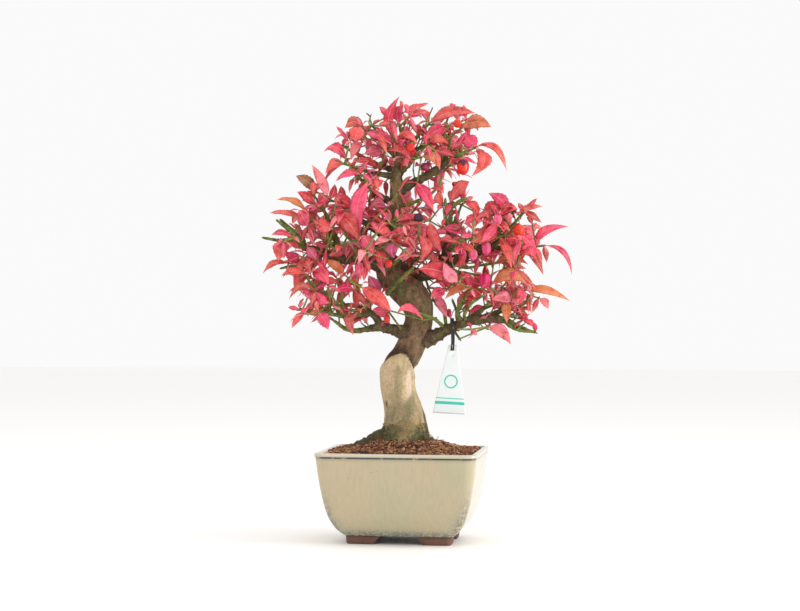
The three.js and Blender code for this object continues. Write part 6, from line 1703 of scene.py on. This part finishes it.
def tagLook(tree):
    # White polypropylene sheet that lets light through, with a printed teal ring and two stripes
    place = addNode(tree, "Attribute", {"attribute_name": "place"}, "Vector")
    x, z = addNode(tree, "SeparateXYZ", None, slice(2), Vector=place)
    above = addNode(tree, "Math", minus, Value0=z, Value1=tag["ringHeight"])
    flat = addNode(tree, "CombineXYZ", X=x, Y=above)
    fromMiddle = addNode(tree, "VectorMath", {"operation": "LENGTH"}, "Value", Vector0=flat)
    printed = 0.0
    for value, (middle, half) in ((z, tag["broad"]), (z, tag["narrow"]), (fromMiddle, tag["ring"])):
        apart = addNode(tree, "Math", minus, Value0=value, Value1=middle)
        away = addNode(tree, "Math", unsigned, Value=apart)
        edge = {"From_Min": half - 0.08, "From_Max": half + 0.08, "To_Min": 1.0, "To_Max": 0.0}
        within = addNode(tree, "MapRange", Value=away, **edge)
        printed = addNode(tree, "Math", {"operation": "MAXIMUM"}, Value0=printed, Value1=within)
    colour = addNode(tree, "Mix", colourMix, Factor=printed, A="#dde2e2", B="#3fc0ae")
    return {"Base_Color": colour}


def blackLook(tree):
    # Black plastic with faint scuffs
    place = addNode(tree, "TexCoord", None, "Object")
    scuff = addNode(tree, "TexNoise", Vector=place, Scale=700.0, Detail=3.0)
    colour = addNode(tree, "Mix", colourMix, Factor=scuff, A="#101114", B="#26282c")
    return {"Base_Color": colour}


tagMaterial = newMaterial(
    "white translucent polypropylene", tagLook, Roughness=0.32, IOR=1.49, Subsurface_Weight=0.5,
    Subsurface_Radius=(1.0, 1.0, 1.0), Subsurface_Scale=0.001,
)
tieMaterial = newMaterial("soft black plastic", blackLook, Roughness=0.38, IOR=1.5)
meshMaterial = newMaterial("matt black plastic mesh", blackLook, Roughness=0.6, IOR=1.5)
putPiece("tag_sheet", tagSurface(), tagMaterial, ["tag"])
strands = joinSurfaces([tieSurface(-1), tieSurface(1)])
putPiece("tie_loop", strands, tieMaterial, ["tag_tie"])
for name in ("drain_mesh_left", "drain_mesh_right"):
    frame["nodes"][name].data.materials.clear()
    frame["nodes"][name].data.materials.append(meshMaterial)
print("tag and tie")


# Floor, light and camera, with places in the tree's frame

studio = {
    "floorHalf": 4.0,
    # place, aim, width and height in metres, power and colour
    "lights": {
        "key": ((-600, -900, 900), (0, 0, 160), 0.7, 0.7, 2.4, "#fff6ec"),
        "right_strip": ((900, -250, 260), (40, 0, 60), 0.4, 0.8, 7, "#ffffff"),
        "top": ((0, 200, 1300), (0, 0, 160), 1.0, 1.0, 2.0, "#ffffff"),
    },
    "surround": 0.96,
    # the eye stands level, 1.25 m in front of the tree, with a lens that frames it as the photograph does
    "eye": (-2.7, -1255, 168), "aim": (-2.7, 0, 168), "lens": 75.4, "sensor": 36, "rise": 0.013,
}


def paperLook(tree):
    # Matt white paper with a faint warm grain
    place = addNode(tree, "TexCoord", None, "Object")
    grain = addNode(tree, "TexNoise", Vector=place, Scale=900.0, Detail=2.0)
    colour = addNode(tree, "Mix", colourMix, Factor=grain, A="#fefdfc", B="#faf8f5")
    return {"Base_Color": colour}


paperMaterial = newMaterial("matt white paper", paperLook, Roughness=0.9)
floorMesh = bpy.data.meshes.new("floor")
half = studio["floorHalf"]
floorCorners = [(-half, -half, 0), (half, -half, 0), (half, half, 0), (-half, half, 0)]
floorMesh.from_pydata(floorCorners, [], [(0, 1, 2, 3)])
floorMesh.materials.append(paperMaterial)
floor = bpy.data.objects.new("floor", floorMesh)
bpy.context.scene.collection.objects.link(floor)


def inRow(x, y, z):
    return (np.array([x, y, z]) @ treeAxes + potCentre) / 1000


def addLight(name, place, target, width, height, power, colour):
    # A softbox at a place in the tree's frame, turned to its target
    data = bpy.data.lights.new(name, "AREA")
    data.shape, data.size, data.size_y = "RECTANGLE", width, height
    data.energy, data.color = power, toLinear(colour)
    lamp = bpy.data.objects.new(name, data)
    bpy.context.scene.collection.objects.link(lamp)
    turnTo(lamp, inRow(*place), inRow(*target))


def turnTo(thing, place, target):
    # Looks along -Z with Y up
    back = unit(place - target)
    right = unit(np.cross(upward, back))
    over = np.cross(back, right)
    matrix = np.eye(4)
    matrix[:3, 0], matrix[:3, 1], matrix[:3, 2], matrix[:3, 3] = right, over, back, place
    thing.matrix_world = Matrix(matrix.tolist())


for name, light in studio["lights"].items():
    addLight(name, *light)

world = bpy.data.worlds.new("white_studio")
world.use_nodes = True
surround = world.node_tree
surround.nodes.clear()
sky = addNode(surround, "Background", Color="#ffffff", Strength=studio["surround"])
addNode(surround, "OutputWorld", Surface=sky)
bpy.context.scene.world = world

camera = bpy.data.cameras.new("camera")
camera.lens, camera.sensor_width, camera.shift_y = studio["lens"], studio["sensor"], studio["rise"]
camera.clip_start, camera.clip_end = 0.05, 20
eye = bpy.data.objects.new("camera", camera)
bpy.context.scene.collection.objects.link(eye)
turnTo(eye, inRow(*studio["eye"]), inRow(*studio["aim"]))
bpy.context.scene.camera = eye
bpy.context.scene.view_settings.view_transform = "Standard"
